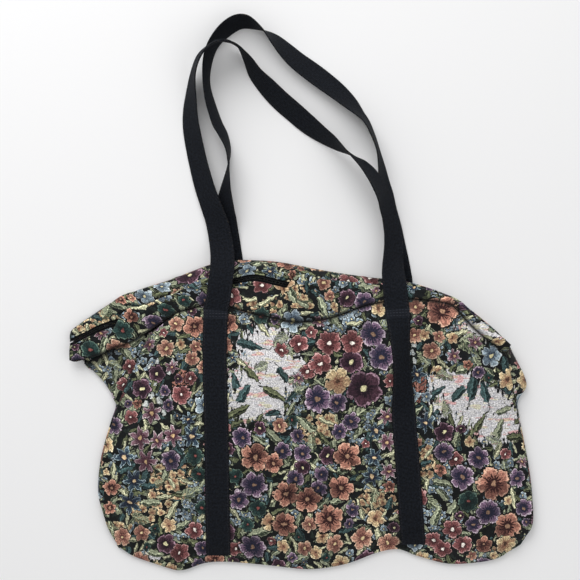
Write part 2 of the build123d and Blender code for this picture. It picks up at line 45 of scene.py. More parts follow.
bpy.ops.object.select_all(action="DESELECT")

bag = {
    "width": 571.4, "height": 378.8, "handleReach": 303.0,
    "cloth": 1.6, "layerGap": 0.3, "seamGap": 0.7, "pleatGap": 1.0,
    "webbingWidth": 30.0, "webbingThickness": 1.8,
    "frontSwell": 25.0, "swellScale": 1.22, "zipOpening": 8.4, "clear": 0.1,
}
bag["bottom"] = -(bag["height"] + bag["handleReach"]) / 2
bag["top"] = bag["bottom"] + bag["height"]
backLow = bag["webbingThickness"] + bag["layerGap"]
pleatLow = backLow + bag["cloth"] + bag["layerGap"]
upward = np.array([0.0, 0.0, 1.0])


def place(across, height, z=0.0):
    # a point of the bag, in percent of its width from the middle and of its height
    return np.array([across / 100 * bag["width"], bag["bottom"] + height / 100 * bag["height"], z])


def beyond(across, height, z=0.0):
    # a point of a handle, in percent of the bag's width and of the handle's reach
    return np.array([across / 100 * bag["width"], bag["top"] + height / 100 * bag["handleReach"], z])


def flow(values, t):
    # smooth values through all of the rows, where t runs from 0 to 1
    rows = np.asarray(values, dtype=float)
    flat = rows.reshape(len(rows), -1)
    ends = np.vstack([2 * flat[:1] - flat[1:2], flat, 2 * flat[-1:] - flat[-2:-1]])
    at = np.clip(np.atleast_1d(t), 0, 1) * (len(rows) - 1)
    i = np.minimum(at.astype(int), len(rows) - 2)
    s = (at - i)[:, None]
    a, b, c, d = ends[i], ends[i + 1], ends[i + 2], ends[i + 3]
    out = 0.5 * (2 * b + (c - a) * s + (2 * a - 5 * b + 4 * c - d) * s**2 + (3 * b - a - 3 * c + d) * s**3)
    return out.reshape((len(out),) + rows.shape[1:])


def unit(vectors):
    return vectors / np.maximum(np.linalg.norm(vectors, axis=-1, keepdims=True), 1e-9)


def ease(low, high, x):
    s = np.clip((x - low) / (high - low), 0, 1)
    return s * s * (3 - 2 * s)


def softNoise(x, y, size, seed):
    # smooth noise from -1 to 1 over lumps of that size
    lattice = np.random.default_rng(seed).uniform(-1, 1, (97, 97))
    gx, gy = x / size + 41.3, y / size + 57.9
    ix, iy = np.floor(gx).astype(int), np.floor(gy).astype(int)
    fx, fy = gx - ix, gy - iy
    fx, fy = fx * fx * (3 - 2 * fx), fy * fy * (3 - 2 * fy)
    low = lattice[ix % 97, iy % 97] * (1 - fx) + lattice[(ix + 1) % 97, iy % 97] * fx
    high = lattice[ix % 97, (iy + 1) % 97] * (1 - fx) + lattice[(ix + 1) % 97, (iy + 1) % 97] * fx
    return low * (1 - fy) + high * fy


def lengthAlong(points):
    # how far along a line each of its points lies
    return np.hstack([0, np.cumsum(np.linalg.norm(np.diff(points, axis=0), axis=1))])


def rightOf(way):
    return np.array([way[1], -way[0], 0])


def stacked(*parts):
    # rows of two to four numbers, from parts of different shapes
    return np.stack(np.broadcast_arrays(*parts), axis=-1)


def turned(x, y, angle):
    # the same place on axes turned by that angle
    c, s = np.cos(angle), np.sin(angle)
    return x * c + y * s, y * c - x * s


def surfaceNormals(points):
    along = np.gradient(points, axis=0)
    across = np.gradient(points, axis=1)
    return unit(np.cross(along, across))


def facing(points, row, column):
    # the normals, turned so that the one at that row and column looks up
    normal = surfaceNormals(points)
    return -normal if normal[row, column, 2] < 0 else normal


# Camera, floor and light
camera = {"lens": 100.0, "sensor": 36.0, "height": 2.004, "x": -0.0132, "y": 0.0010}
studio = {
    "floor": (0.94, 0.94, 0.945), "world": 0.55, "exposure": 0.0,
    "key": ((-0.7, 1.6, 1.3), 1.8, 28.0), "fill": ((1.1, -0.6, 1.9), 2.0, 5.0),
}


def makeStudio():
    data = bpy.data.cameras.new("camera")
    data.lens = camera["lens"]
    data.sensor_width = camera["sensor"]
    data.clip_end = 20
    cameraObject = bpy.data.objects.new("camera", data)
    cameraObject.location = (camera["x"], camera["y"], camera["height"])
    bpy.context.collection.objects.link(cameraObject)
    bpy.context.scene.camera = cameraObject

    bpy.ops.mesh.primitive_plane_add(size=12, location=(0, 0, 0))
    floor = bpy.context.object
    floor.name = "floor"
    material = bpy.data.materials.new("paleFloor")
    material.use_nodes = True
    shader = material.node_tree.nodes["Principled BSDF"]
    shader.inputs["Base Color"].default_value = (*studio["floor"], 1)
    shader.inputs["Roughness"].default_value = 0.95
    floor.data.materials.append(material)

    view = bpy.context.scene.view_settings
    view.view_transform = "Standard"
    view.exposure = studio["exposure"]
    world = bpy.data.worlds.new("studio")
    world.use_nodes = True
    background = world.node_tree.nodes["Background"]
    background.inputs["Color"].default_value = (1, 1, 1, 1)
    background.inputs["Strength"].default_value = studio["world"]
    bpy.context.scene.world = world
    for name in ("key", "fill"):
        spot, size, power = studio[name]
        light = bpy.data.lights.new(name + "Light", "AREA")
        light.shape = "DISK"
        light.size = size
        light.energy = power
        lamp = bpy.data.objects.new(name + "Light", light)
        lamp.location = spot
        lamp.rotation_euler = Vector(spot).to_track_quat("Z", "Y").to_euler()
        bpy.context.collection.objects.link(lamp)


makeStudio()
print("studio ready")


def linear(part):
    return ((part + 0.055) / 1.055) ** 2.4 if part > 0.04 else part / 12.92


def tone(red, green, blue):
    # a colour as a picture shows it, 0 to 255, made linear
    return linear(red / 255), linear(green / 255), linear(blue / 255), 1


class Sketch:
    # wires nodes of one tree and hands back output sockets

    def __init__(self, tree):
        self.tree = tree

    def node(self, kind, **settings):
        made = self.tree.nodes.new(kind)
        for key, value in settings.items():
            setattr(made, key, value)
        return made

    def feed(self, socket, value):
        if isinstance(value, bpy.types.NodeSocket):
            self.tree.links.new(value, socket)
        elif value is not None:
            socket.default_value = value

    def math(self, operation, a, b=None, clamp=False):
        made = self.node("ShaderNodeMath", operation=operation, use_clamp=clamp)
        for socket, value in zip(made.inputs, (a, b)):
            self.feed(socket, value)
        return made.outputs[0]

    def times(self, a, b):
        return self.math("MULTIPLY", a, b)

    def plus(self, a, b):
        return self.math("ADD", a, b)

    def minus(self, a, b, clamp=False):
        return self.math("SUBTRACT", a, b, clamp=clamp)

    def rest(self, value):
        # what is left of one
        return self.math("SUBTRACT", 1.0, value)

    def sine(self, value):
        return self.math("SINE", value)

    def absolute(self, value):
        return self.math("ABSOLUTE", value)

    def vector(self, operation, a, b=None, scale=None):
        made = self.node("ShaderNodeVectorMath", operation=operation)
        self.feed(made.inputs[0], a)
        self.feed(made.inputs[1], b)
        if scale is not None:
            self.feed(made.inputs["Scale"], scale)
        return made.outputs["Value" if operation in ("LENGTH", "DISTANCE", "DOT_PRODUCT") else "Vector"]

    def step(self, low, high, value):
        # smooth step from 0 at low to 1 at high
        made = self.node("ShaderNodeMapRange", interpolation_type="SMOOTHSTEP", clamp=True)
        for socket, given in zip(made.inputs, (value, low, high, 0.0, 1.0)):
            self.feed(socket, given)
        return made.outputs[0]

    def mix(self, factor, a, b, blend="MIX"):
        made = self.node("ShaderNodeMix", data_type="RGBA", blend_type=blend)
        self.feed(made.inputs[0], factor)
        self.feed(made.inputs[6], a)
        self.feed(made.inputs[7], b)
        return made.outputs[2]

    def shaded(self, colour, shade):
        # a colour made lighter or darker
        return self.mix(1.0, colour, self.join(shade, shade, shade), "MULTIPLY")

    def blend(self, factor, a, b):
        made = self.node("ShaderNodeMix", data_type="FLOAT")
        self.feed(made.inputs[0], factor)
        self.feed(made.inputs[2], a)
        self.feed(made.inputs[3], b)
        return made.outputs[0]

    def parts(self, vector):
        made = self.node("ShaderNodeSeparateXYZ")
        self.feed(made.inputs[0], vector)
        return made.outputs

    def join(self, x, y, z=0.0):
        made = self.node("ShaderNodeCombineXYZ")
        for socket, value in zip(made.inputs, (x, y, z)):
            self.feed(socket, value)
        return made.outputs[0]

    def attribute(self, name, output="Vector"):
        return self.node("ShaderNodeAttribute", attribute_name=name).outputs[output]

    def mapped(self, vector, scale, turn=0.0):
        made = self.node("ShaderNodeMapping")
        made.inputs["Scale"].default_value = scale
        made.inputs["Rotation"].default_value = (0, 0, turn)
        self.feed(made.inputs["Vector"], vector)
        return made.outputs[0]

    def noise(self, vector, scale, detail=2.0, dimensions="2D"):
        made = self.node("ShaderNodeTexNoise", noise_dimensions=dimensions)
        self.feed(made.inputs["Vector"], vector)
        self.feed(made.inputs["Scale"], scale)
        self.feed(made.inputs["Detail"], detail)
        return made.outputs

    def cells(self, vector, scale, randomness=0.8):
        made = self.node("ShaderNodeTexVoronoi", voronoi_dimensions="2D", feature="F1")
        self.feed(made.inputs["Vector"], vector)
        self.feed(made.inputs["Scale"], scale)
        self.feed(made.inputs["Randomness"], randomness)
        return made.outputs

    def emboss(self, shader, height, distance, strength=1.0):
        bump = self.node("ShaderNodeBump")
        bump.inputs["Strength"].default_value = strength
        bump.inputs["Distance"].default_value = distance
        self.feed(bump.inputs["Height"], height)
        self.feed(shader.inputs["Normal"], bump.outputs[0])

    def palette(self, colours, index):
        # one of several colours, picked by a whole number
        made = self.node("ShaderNodeValToRGB")
        ramp = made.color_ramp
        ramp.interpolation = "CONSTANT"
        while len(ramp.elements) < len(colours):
            ramp.elements.new(1.0)
        for i, colour in enumerate(colours):
            ramp.elements[i].position = i / len(colours)
            ramp.elements[i].color = colour
        at = self.math("DIVIDE", self.math("ADD", index, 0.5), float(len(colours)))
        self.feed(made.inputs[0], at)
        return made.outputs[0]

    def place(self, group, **given):
        made = self.node("ShaderNodeGroup", node_tree=group)
        for key, value in given.items():
            self.feed(made.inputs[key], value)
        return made.outputs


def newGroup(name, inputs, outputs):
    group = bpy.data.node_groups.new(name, "ShaderNodeTree")
    kinds = {"float": "NodeSocketFloat", "vector": "NodeSocketVector", "color": "NodeSocketColor"}
    for label, kind in inputs:
        group.interface.new_socket(label, in_out="INPUT", socket_type=kinds[kind])
    for label, kind in outputs:
        group.interface.new_socket(label, in_out="OUTPUT", socket_type=kinds[kind])
    sketch = Sketch(group)
    return group, sketch, sketch.node("NodeGroupInput").outputs, sketch.node("NodeGroupOutput").inputs


# Woven flowers: (petals, how far out the notches reach, how pointed, the heart's size),
# then the colours of petal, edge, heart and eye
bloomKinds = {
    "poppy": ((5, 0.62, 0.0, 0.42), (172, 112, 84), (220, 176, 144), (62, 22, 24), (160, 122, 88)),
    "rose": ((5, 0.66, 0.0, 0.36), (138, 72, 72), (222, 174, 168), (78, 28, 34), (228, 220, 210)),
    "pansy": ((6, 0.66, 0.0, 0.52), (130, 102, 128), (212, 196, 206), (40, 40, 68), (140, 110, 84)),
    "mauve": ((5, 0.70, 0.0, 0.40), (88, 52, 70), (184, 146, 164), (44, 24, 40), (204, 198, 150)),
    "starBlue": ((6, 0.28, 0.8, 0.34), (54, 80, 96), (184, 206, 212), (34, 42, 66), (204, 176, 128)),
    "starPink": ((6, 0.34, 0.7, 0.38), (150, 110, 124), (228, 216, 214), (88, 46, 64), (192, 160, 104)),
    "tealRed": ((8, 0.74, 0.2, 0.30), (44, 76, 72), (120, 146, 130), (18, 36, 38), (140, 60, 46)),
    "cream": ((5, 0.56, 0.1, 0.30), (196, 172, 124), (236, 224, 186), (140, 90, 58), (92, 64, 44)),
    "bit": ((5, 0.45, 0.2, 0.34), (142, 160, 170), (214, 224, 226), (54, 72, 90), (196, 186, 140)),
    "peach": ((5, 0.58, 0.0, 0.38), (176, 126, 98), (226, 198, 166), (104, 52, 42), (206, 184, 130)),
}
bloomNames = list(bloomKinds)

# Woven leaves: (leaflets, how deep they are cut, how wide), then the light and the dark side
leafKinds = {
    "sage": ((6, 0.0, 0.30), (186, 192, 160), (60, 72, 54)),
    "olive": ((5, 0.0, 0.26), (138, 144, 104), (38, 48, 34)),
    "pale": ((7, 0.0, 0.20), (216, 214, 176), (90, 98, 72)),
    "teal": ((5, 0.0, 0.30), (88, 120, 120), (24, 50, 52)),
    "fern": ((8, 0.9, 0.44), (184, 124, 98), (140, 80, 62)),
    "spray": ((7, 0.9, 0.46), (184, 190, 156), (80, 92, 68)),
    "bell": ((3, 0.0, 0.62), (212, 214, 208), (158, 164, 164)),
}
leafNames = list(leafKinds)
groundTone = tone(16, 21, 22)

# what a motif is given, and what it puts out
motifInputs = [("Place", "vector"), ("Kind", "float"), ("Shift", "float"), ("Wobble", "float")]
motifOutputs = [("Color", "color"), ("Mask", "float"), ("Relief", "float")]


def formOf(k, rows, kind):
    # the numbers of a motif's kind, where the count is stored as a tenth, since a palette ends at one
    return k.parts(k.palette([(row[0][0] / 10, row[0][1], row[0][2], 1) for row in rows], kind))


def tonesOf(k, rows, kind):
    return [k.palette([tone(*row[i]) for row in rows], kind) for i in range(1, len(rows[0]))]


def makeBloomGroup():
    group, k, given, out = newGroup("wovenBloom", motifInputs, motifOutputs)
    rows = list(bloomKinds.values())
    kind = given["Kind"]
    spots = k.parts(given["Place"])
    radius = k.vector("LENGTH", k.join(spots[0], spots[1]))
    angle = k.math("ARCTAN2", spots[1], spots[0])
    form = formOf(k, rows, kind)
    heartSize = k.palette([(row[0][3],) * 3 + (1,) for row in rows], kind)
    petals = k.times(form[0], 10.0)
    turn = k.plus(k.times(angle, k.math("DIVIDE", petals, 2 * math.pi)), 20.0)
    toss = k.plus(k.times(k.math("FLOOR", turn), 12.99), k.times(given["Shift"], 517.3))
    toss = k.math("FRACT", k.times(k.sine(toss), 437.5))
    off = k.times(k.absolute(k.minus(k.math("FRACT", turn), 0.5)), 2.0)
    rounded = k.math("SQRT", k.minus(1.0, k.times(off, off), clamp=True))
    pointed = k.math("POWER", k.minus(1.0, off, clamp=True), 1.15)
    profile = k.blend(form[2], rounded, pointed)
    reach = k.plus(form[1], k.times(k.rest(form[1]), profile))
    reach = k.plus(reach, k.times(given["Wobble"], 0.3))
    inside = k.minus(k.times(reach, 0.93), radius)
    veins = k.sine(k.times(angle, k.times(petals, 3.0)))
    petal, edge, heart, eye = tonesOf(k, rows, kind)
    shade = k.plus(1.0, k.plus(k.times(veins, 0.16), k.times(given["Wobble"], 1.2)))
    colour = k.shaded(petal, shade)
    deep = k.times(k.step(0.5, 0.72, toss), 0.62)
    colour = k.mix(deep, colour, heart)
    band = k.rest(k.step(0.05, 0.13, inside))
    band = k.times(band, k.minus(0.85, k.times(deep, 0.7)))
    colour = k.mix(band, colour, edge)
    heartReach = k.plus(heartSize, k.plus(k.times(veins, 0.13), k.times(given["Wobble"], 0.5)))
    heartMask = k.rest(k.step(k.minus(heartReach, 0.07), k.plus(heartReach, 0.07), radius))
    colour = k.mix(heartMask, colour, heart)
    colour = k.mix(k.rest(k.step(0.12, 0.19, radius)), colour, eye)
    seam = k.times(k.step(0.82, 0.97, off), k.step(0.2, 0.34, radius))
    colour = k.mix(k.times(seam, 0.75), colour, heart)
    body = k.step(-0.02, 0.03, inside)
    colour = k.mix(body, groundTone, colour)
    lift = k.plus(1.0, given["Shift"])
    k.feed(out["Color"], k.shaded(colour, lift))
    k.feed(out["Mask"], k.step(-0.13, -0.09, inside))
    k.feed(out["Relief"], k.times(body, k.step(-0.1, 0.35, inside)))
    return group


def makeLeafGroup():
    group, k, given, out = newGroup("wovenLeaf", motifInputs, motifOutputs)
    rows = list(leafKinds.values())
    kind = given["Kind"]
    spots = k.parts(given["Place"])
    along, side = spots[0], spots[1]
    off = k.absolute(side)
    form = formOf(k, rows, kind)
    leaflets = k.times(form[0], 10.0)
    taper = k.math("SQRT", k.minus(1.0, k.times(along, along), clamp=True))
    width = k.times(k.times(form[2], taper), k.rest(k.times(along, 0.35)))
    width = k.plus(width, k.times(given["Wobble"], 0.12))
    inside = k.minus(width, off)
    rank = k.plus(k.times(along, k.times(leaflets, 0.5)), k.times(off, k.times(leaflets, -0.6)))
    beat = k.times(k.absolute(k.minus(k.math("FRACT", k.plus(rank, 20.0)), 0.5)), 2.0)
    gap = k.times(k.step(0.62, 0.80, beat), form[1])
    light, dark = tonesOf(k, rows, kind)
    colour = k.mix(k.times(k.step(-0.01, 0.02, side), 0.5), dark, light)
    colour = k.mix(k.times(k.rest(k.step(0.10, 0.30, beat)), 0.35), colour, light)
    colour = k.mix(k.times(k.rest(k.step(0.03, 0.08, inside)), 0.55), colour, light)
    stem = k.times(k.rest(k.step(0.03, 0.05, off)), k.step(0.0, 0.1, taper))
    colour = k.mix(stem, colour, light)
    shade = k.plus(k.plus(1.0, given["Shift"]), k.times(given["Wobble"], 0.8))
    body = k.times(k.step(-0.01, 0.03, inside), k.rest(gap))
    body = k.math("MAXIMUM", body, stem)
    colour = k.mix(body, groundTone, k.shaded(colour, shade))
    outline = k.times(k.step(-0.07, -0.03, inside), k.rest(k.times(gap, 0.9)))
    k.feed(out["Color"], colour)
    k.feed(out["Mask"], k.math("MAXIMUM", outline, stem))
    k.feed(out["Relief"], k.times(body, k.step(-0.05, 0.15, inside)))
    return group


def makeWeaveGroup():
    # the fine ribs of a woven cloth, and the salt and pepper of its yarns
    group, k, given, out = newGroup(
        "weave", [("Fabric", "vector"), ("Pitch", "float")], [("Shade", "float"), ("Height", "float")]
    )
    spots = k.parts(given["Fabric"])
    rate = k.math("DIVIDE", 2 * math.pi, given["Pitch"])
    weft = k.sine(k.times(spots[1], rate))
    warp = k.sine(k.times(spots[0], k.times(rate, 0.62)))
    knots = k.times(weft, k.plus(0.6, k.times(warp, 0.4)))
    yarn = k.noise(given["Fabric"], 560.0, 2.0)["Fac"]
    k.feed(out["Shade"], k.plus(k.times(knots, 0.13), k.times(k.minus(yarn, 0.5), 1.7)))
    k.feed(out["Height"], k.plus(knots, k.times(yarn, 1.6)))
    return group


bloomGroup = makeBloomGroup()
leafGroup = makeLeafGroup()
weaveGroup = makeWeaveGroup()

tapestry = {
    "leafCell": 1 / 0.0125, "leafShare": 0.78, "bitCell": 1 / 0.0098, "bitShare": 0.16, "weavePitch": 0.0013,
    "worn": 0.0013, "ragged": 1.35, "feather": 1.1, "patchEdge": (0.36, 0.42), "relief": 0.0007,
    "roughness": 0.88, "sheen": 0.1, "saturation": 0.78, "value": 1.5, "gamma": 1.28,
}


def newMaterial(name, roughness, gloss=0.5):
    material = bpy.data.materials.new(name)
    material.use_nodes = True
    shader = material.node_tree.nodes["Principled BSDF"]
    shader.inputs["Roughness"].default_value = roughness
    shader.inputs["Specular IOR Level"].default_value = gloss
    return material, Sketch(material.node_tree), shader


def scatter(k, cloth, rate, randomness, spread):
    # cells all over the cloth: a few chances for each, and the place in it
    cell = k.cells(cloth, rate, randomness)
    away = k.vector("SUBTRACT", cloth, cell["Position"])
    return k.parts(cell["Color"]), k.vector("SCALE", away, scale=rate * spread)


def makeTapestry():
    material, k, shader = newMaterial("tapestry", tapestry["roughness"], 0.25)
    shader.inputs["Sheen Weight"].default_value = tapestry["sheen"]
    fabric = k.attribute("fabric")
    region = k.parts(k.attribute("region"))
    shiver = k.vector("SUBTRACT", k.noise(fabric, 480.0, 2.0)["Color"], (0.5, 0.5, 0.5))
    drift = k.vector("SUBTRACT", k.noise(fabric, 150.0, 1.0)["Color"], (0.5, 0.5, 0.5))
    shiver = k.vector("ADD", shiver, k.vector("SCALE", drift, scale=2.4))
    worn = k.vector("ADD", fabric, k.vector("SCALE", shiver, scale=tapestry["worn"]))
    wobble = k.minus(k.noise(fabric, 300.0, 2.0)["Fac"], 0.5)
    slow = k.noise(fabric, 42.0, 3.0)["Fac"]

    # ground, with dim leaves all over it
    mottle = k.mix(k.step(0.35, 0.65, slow), tone(15, 22, 22), tone(26, 30, 34))
    mottle = k.mix(k.step(0.55, 0.72, k.noise(fabric, 120.0, 2.0)["Fac"]), mottle, tone(44, 56, 50))
    chance, local = scatter(k, worn, tapestry["leafCell"], 0.85, 1.25)
    spun = k.node("ShaderNodeVectorRotate", rotation_type="Z_AXIS")
    k.feed(spun.inputs["Vector"], local)
    k.feed(spun.inputs["Angle"], k.times(chance[0], 6.28))
    leafKind = k.math("FLOOR", k.times(chance[1], 4.0))
    leaf = k.place(leafGroup, Place=spun.outputs[0], Kind=leafKind, Shift=-0.15, Wobble=wobble)
    shown = k.times(leaf["Mask"], k.math("GREATER_THAN", chance[2], 1 - tapestry["leafShare"]))
    colour = k.mix(shown, mottle, leaf["Color"])
    relief = k.times(leaf["Relief"], 0.5)

    # small blossoms: pale blue bits and cream sprays where the cloth has them
    chance, local = scatter(k, worn, tapestry["bitCell"], 0.62, 1.7)
    plenty = k.plus(tapestry["bitShare"], k.math("MAXIMUM", region[1], region[2]))
    bit, cream = float(bloomNames.index("bit")), float(bloomNames.index("cream"))
    kind = k.blend(k.step(0.35, 0.36, region[1]), bit, cream)
    shift = k.times(k.minus(chance[2], 0.6), 0.5)
    bits = k.place(bloomGroup, Place=local, Kind=kind, Shift=shift, Wobble=wobble)
    shown = k.times(bits["Mask"], k.math("LESS_THAN", chance[1], plenty))
    colour = k.mix(shown, colour, bits["Color"])
    relief = k.math("MAXIMUM", relief, k.times(shown, bits["Relief"]))

    # pale streaked patches with feathered edges
    stretched = k.mapped(fabric, (1.0, 3.4, 1.0), 0.25)
    streak = k.noise(stretched, 150.0, 4.0)["Fac"]
    feather = k.noise(k.mapped(worn, (1.0, 0.32, 1.0)), 300.0, 2.0)["Fac"]
    depth = k.plus(region[0], k.times(k.minus(feather, 0.5), tapestry["feather"]))
    sky = k.step(*tapestry["patchEdge"], depth)
    pale = k.mix(k.step(0.36, 0.62, streak), tone(186, 185, 189), tone(201, 199, 198))
    pink = k.step(0.60, 0.66, k.noise(stretched, 38.0, 3.0)["Fac"])
    pale = k.mix(k.times(pink, 0.8), pale, tone(196, 138, 136))
    yellow = k.step(0.62, 0.68, k.noise(stretched, 47.0, 2.0)["Fac"])
    pale = k.mix(k.times(yellow, 0.6), pale, tone(198, 193, 150))
    colour = k.mix(sky, colour, pale)
    relief = k.blend(sky, relief, k.times(streak, 0.15))

    # sprigs, then the middling flowers, then the large ones
    for layer, group in (("sprig", leafGroup), ("flower", bloomGroup), ("blossom", bloomGroup)):
        spots = k.parts(k.attribute(layer + "Place"))
        more = k.parts(k.attribute(layer + "Form"))
        ragged = k.parts(k.vector("SCALE", shiver, scale=tapestry["ragged"]))
        px = k.plus(spots[0], k.times(ragged[0], more[1]))
        py = k.plus(spots[1], k.times(ragged[1], more[1]))
        motif = k.place(group, Place=k.join(px, py), Kind=spots[2], Shift=more[0], Wobble=wobble)
        colour = k.mix(motif["Mask"], colour, motif["Color"])
        relief = k.blend(motif["Mask"], relief, motif["Relief"])

    weave = k.place(weaveGroup, Fabric=fabric, Pitch=tapestry["weavePitch"])
    # painted shade: the cloth's colour is darkened along its seams and folds, where shade falls
    paintedShade = k.attribute("paintedShade", "Fac")
    shade = k.times(k.plus(1.0, weave["Shade"]), k.rest(paintedShade))
    colour = k.shaded(colour, shade)
    faded = k.node("ShaderNodeHueSaturation")
    faded.inputs["Saturation"].default_value = tapestry["saturation"]
    faded.inputs["Value"].default_value = tapestry["value"]
    deeper = k.node("ShaderNodeGamma")
    deeper.inputs["Gamma"].default_value = tapestry["gamma"]
    k.feed(deeper.inputs["Color"], colour)
    k.feed(faded.inputs["Color"], deeper.outputs[0])
    k.feed(shader.inputs["Base Color"], faded.outputs[0])
    k.emboss(shader, k.plus(relief, k.times(weave["Height"], 0.10)), tapestry["relief"], 0.9)
    return material


tapestryMaterial = makeTapestry()
print("tapestry material ready")

# Where the larger flowers are woven, by their place on the front as the picture
# shows it: (across, down, radius, kind), in the picture's units
picture = {"unit": 1.225, "middle": (300.8, 290.8)}
plantings = [
    (195, 327, 11, "poppy"), (177, 324, 8, "peach"), (167, 349, 9, "peach"), (182, 345, 5, "cream"),
    (196, 347, 6, "peach"), (193, 359, 7, "peach"), (124, 375, 7, "rose"), (117, 394, 7, "rose"),
    (152, 413, 11, "starPink"), (140, 438, 13, "starPink"), (158, 440, 10, "starPink"),
    (174, 435, 11, "starPink"), (146, 461, 13, "starPink"), (193, 436, 12, "starBlue"),
    (123, 457, 12, "starBlue"), (133, 482, 13, "starBlue"), (128, 505, 13, "starBlue"),
    (190, 419, 8, "starBlue"), (196, 455, 9, "tealRed"), (179, 554, 10, "rose"), (194, 531, 9, "rose"),
    (165, 545, 10, "mauve"), (155, 322, 9, "pansy"), (110, 315, 7, "poppy"), (243, 437, 10, "pansy"),
    (281, 449, 9, "pansy"), (302, 452, 9, "pansy"), (297, 435, 7, "pansy"), (255, 456, 14, "poppy"),
    (272, 461, 10, "poppy"), (286, 493, 13, "poppy"), (307, 500, 13, "poppy"), (284, 524, 12, "poppy"),
    (328, 521, 14, "poppy"), (254, 484, 13, "pansy"), (239, 499, 10, "pansy"), (252, 549, 13, "pansy"),
    (295, 477, 9, "pansy"), (318, 489, 9, "pansy"), (322, 474, 8, "pansy"), (236, 476, 8, "tealRed"),
    (258, 508, 9, "tealRed"), (302, 466, 8, "mauve"), (270, 522, 9, "cream"), (282, 547, 7, "cream"),
    (304, 549, 8, "peach"), (316, 554, 7, "cream"), (309, 525, 8, "peach"), (236, 552, 8, "rose"),
    (300, 342, 9, "rose"), (320, 363, 11, "rose"), (308, 371, 8, "rose"), (283, 348, 7, "rose"),
    (299, 378, 7, "starPink"), (328, 342, 12, "rose"), (350, 342, 12, "rose"), (318, 399, 14, "pansy"),
    (347, 298, 9, "mauve"), (364, 302, 10, "pansy"), (379, 308, 8, "cream"), (350, 361, 12, "mauve"),
    (371, 333, 13, "pansy"), (380, 355, 13, "pansy"), (338, 380, 14, "cream"), (364, 387, 18, "mauve"),
    (338, 402, 10, "pansy"), (352, 421, 9, "pansy"), (341, 431, 8, "pansy"), (349, 456, 14, "poppy"),
    (341, 489, 13, "poppy"), (329, 455, 9, "mauve"), (377, 429, 10, "starBlue"),
    (376, 456, 10, "starBlue"), (373, 476, 11, "starBlue"), (387, 414, 9, "starPink"),
    (388, 440, 10, "starPink"), (390, 470, 9, "starPink"), (335, 545, 9, "peach"), (322, 538, 7, "cream"),
    (441, 311, 16, "poppy"), (454, 305, 8, "mauve"), (416, 306, 8, "peach"), (414, 335, 8, "peach"),
    (423, 335, 6, "cream"), (437, 337, 6, "peach"), (430, 351, 9, "peach"), (452, 356, 8, "starPink"),
    (426, 422, 11, "starBlue"), (445, 433, 10, "mauve"), (445, 453, 10, "pansy"), (480, 459, 11, "pansy"),
    (463, 478, 12, "pansy"), (457, 461, 8, "rose"), (495, 485, 17, "poppy"), (509, 529, 14, "poppy"),
    (468, 501, 11, "tealRed"), (489, 514, 13, "pansy"), (474, 525, 9, "pansy"), (452, 529, 10, "rose"),
    (463, 547, 10, "rose"), (433, 542, 9, "rose"), (443, 552, 9, "rose"), (508, 547, 11, "cream"),
    (519, 480, 9, "pansy"), (526, 511, 9, "pansy"), (507, 455, 6, "rose"), (485, 547, 9, "poppy"),
    (120, 540, 9, "peach"), (140, 535, 8, "peach"), (109, 490, 9, "poppy"), (205, 300, 8, "pansy"),
]
# (across, down, half length, heading in degrees, kind)
sprigs = [
    (182, 385, 19, 82, "fern"), (418, 384, 19, 80, "fern"), (158, 378, 15, 75, "olive"),
    (112, 435, 18, 65, "sage"), (128, 415, 16, 40, "spray"), (290, 470, 15, 60, "pale"),
    (283, 455, 12, 110, "spray"), (360, 412, 20, 42, "spray"), (372, 385, 16, 65, "sage"),
    (262, 532, 15, 20, "sage"), (340, 515, 12, 60, "sage"), (365, 545, 16, 70, "pale"),
    (380, 540, 16, 110, "pale"), (395, 535, 14, 50, "pale"), (345, 470, 12, 10, "sage"),
    (310, 515, 12, 70, "pale"), (470, 345, 20, -30, "spray"), (455, 335, 16, 20, "pale"),
    (500, 430, 12, 70, "sage"), (480, 425, 12, 60, "olive"), (505, 520, 10, 80, "sage"),
    (455, 505, 14, 50, "sage"), (515, 500, 12, 100, "pale"), (240, 320, 16, -20, "pale"),
    (262, 325, 14, -50, "pale"), (250, 345, 13, -10, "teal"), (245, 395, 12, 60, "teal"),
    (275, 395, 13, -30, "olive"), (240, 412, 13, 30, "olive"), (258, 425, 12, 70, "olive"),
    (168, 330, 14, 10, "sage"), (150, 345, 14, 40, "spray"), (172, 510, 14, 60, "pale"),
    (160, 530, 12, 100, "olive"), (472, 385, 16, 80, "teal"), (460, 392, 12, 50, "teal"),
    (484, 390, 12, 110, "teal"), (300, 560, 12, 20, "sage"), (130, 350, 12, 30, "sage"),
    (225, 300, 14, 10, "sage"), (390, 560, 10, 60, "pale"),
]
# (across, down) of the hanging bells
bells = [
    (151, 367), (158, 362), (153, 374), (161, 371), (148, 381), (156, 384), (163, 390), (152, 394),
    (160, 400), (168, 405), (170, 372), (174, 362), (412, 352), (414, 360), (413, 343), (164, 412),
    (146, 404), (172, 397),
]
# (across, down, half width, half height) of the pale patches, the cream sprays and the blue bits
patches = {
    "sky": [
        (268, 350, 24, 20), (262, 385, 26, 14), (258, 405, 24, 14), (284, 366, 20, 9), (478, 405, 34, 17),
        (500, 425, 22, 16), (452, 385, 20, 12), (480, 330, 18, 8), (150, 558, 9, 3), (396, 562, 12, 4),
    ],
    "cream": [
        (165, 486, 18, 18), (148, 512, 18, 12), (102, 302, 26, 12), (138, 296, 22, 10), (186, 470, 9, 6),
        (320, 427, 18, 13), (377, 503, 20, 11), (427, 462, 10, 14), (300, 300, 16, 12), (262, 305, 22, 7),
        (115, 527, 12, 8), (440, 375, 8, 10), (340, 305, 8, 6), (505, 548, 10, 6),
    ],
    "blue": [
        (107, 374, 14, 16), (192, 493, 12, 10), (185, 520, 12, 10), (343, 316, 16, 13),
        (297, 402, 12, 12), (437, 515, 13, 13), (441, 486, 9, 8), (502, 465, 9, 6), (262, 440, 8, 6),
        (195, 285, 18, 9), (355, 440, 8, 8), (236, 515, 8, 8), (128, 362, 18, 8), (455, 320, 10, 10),
    ],
}
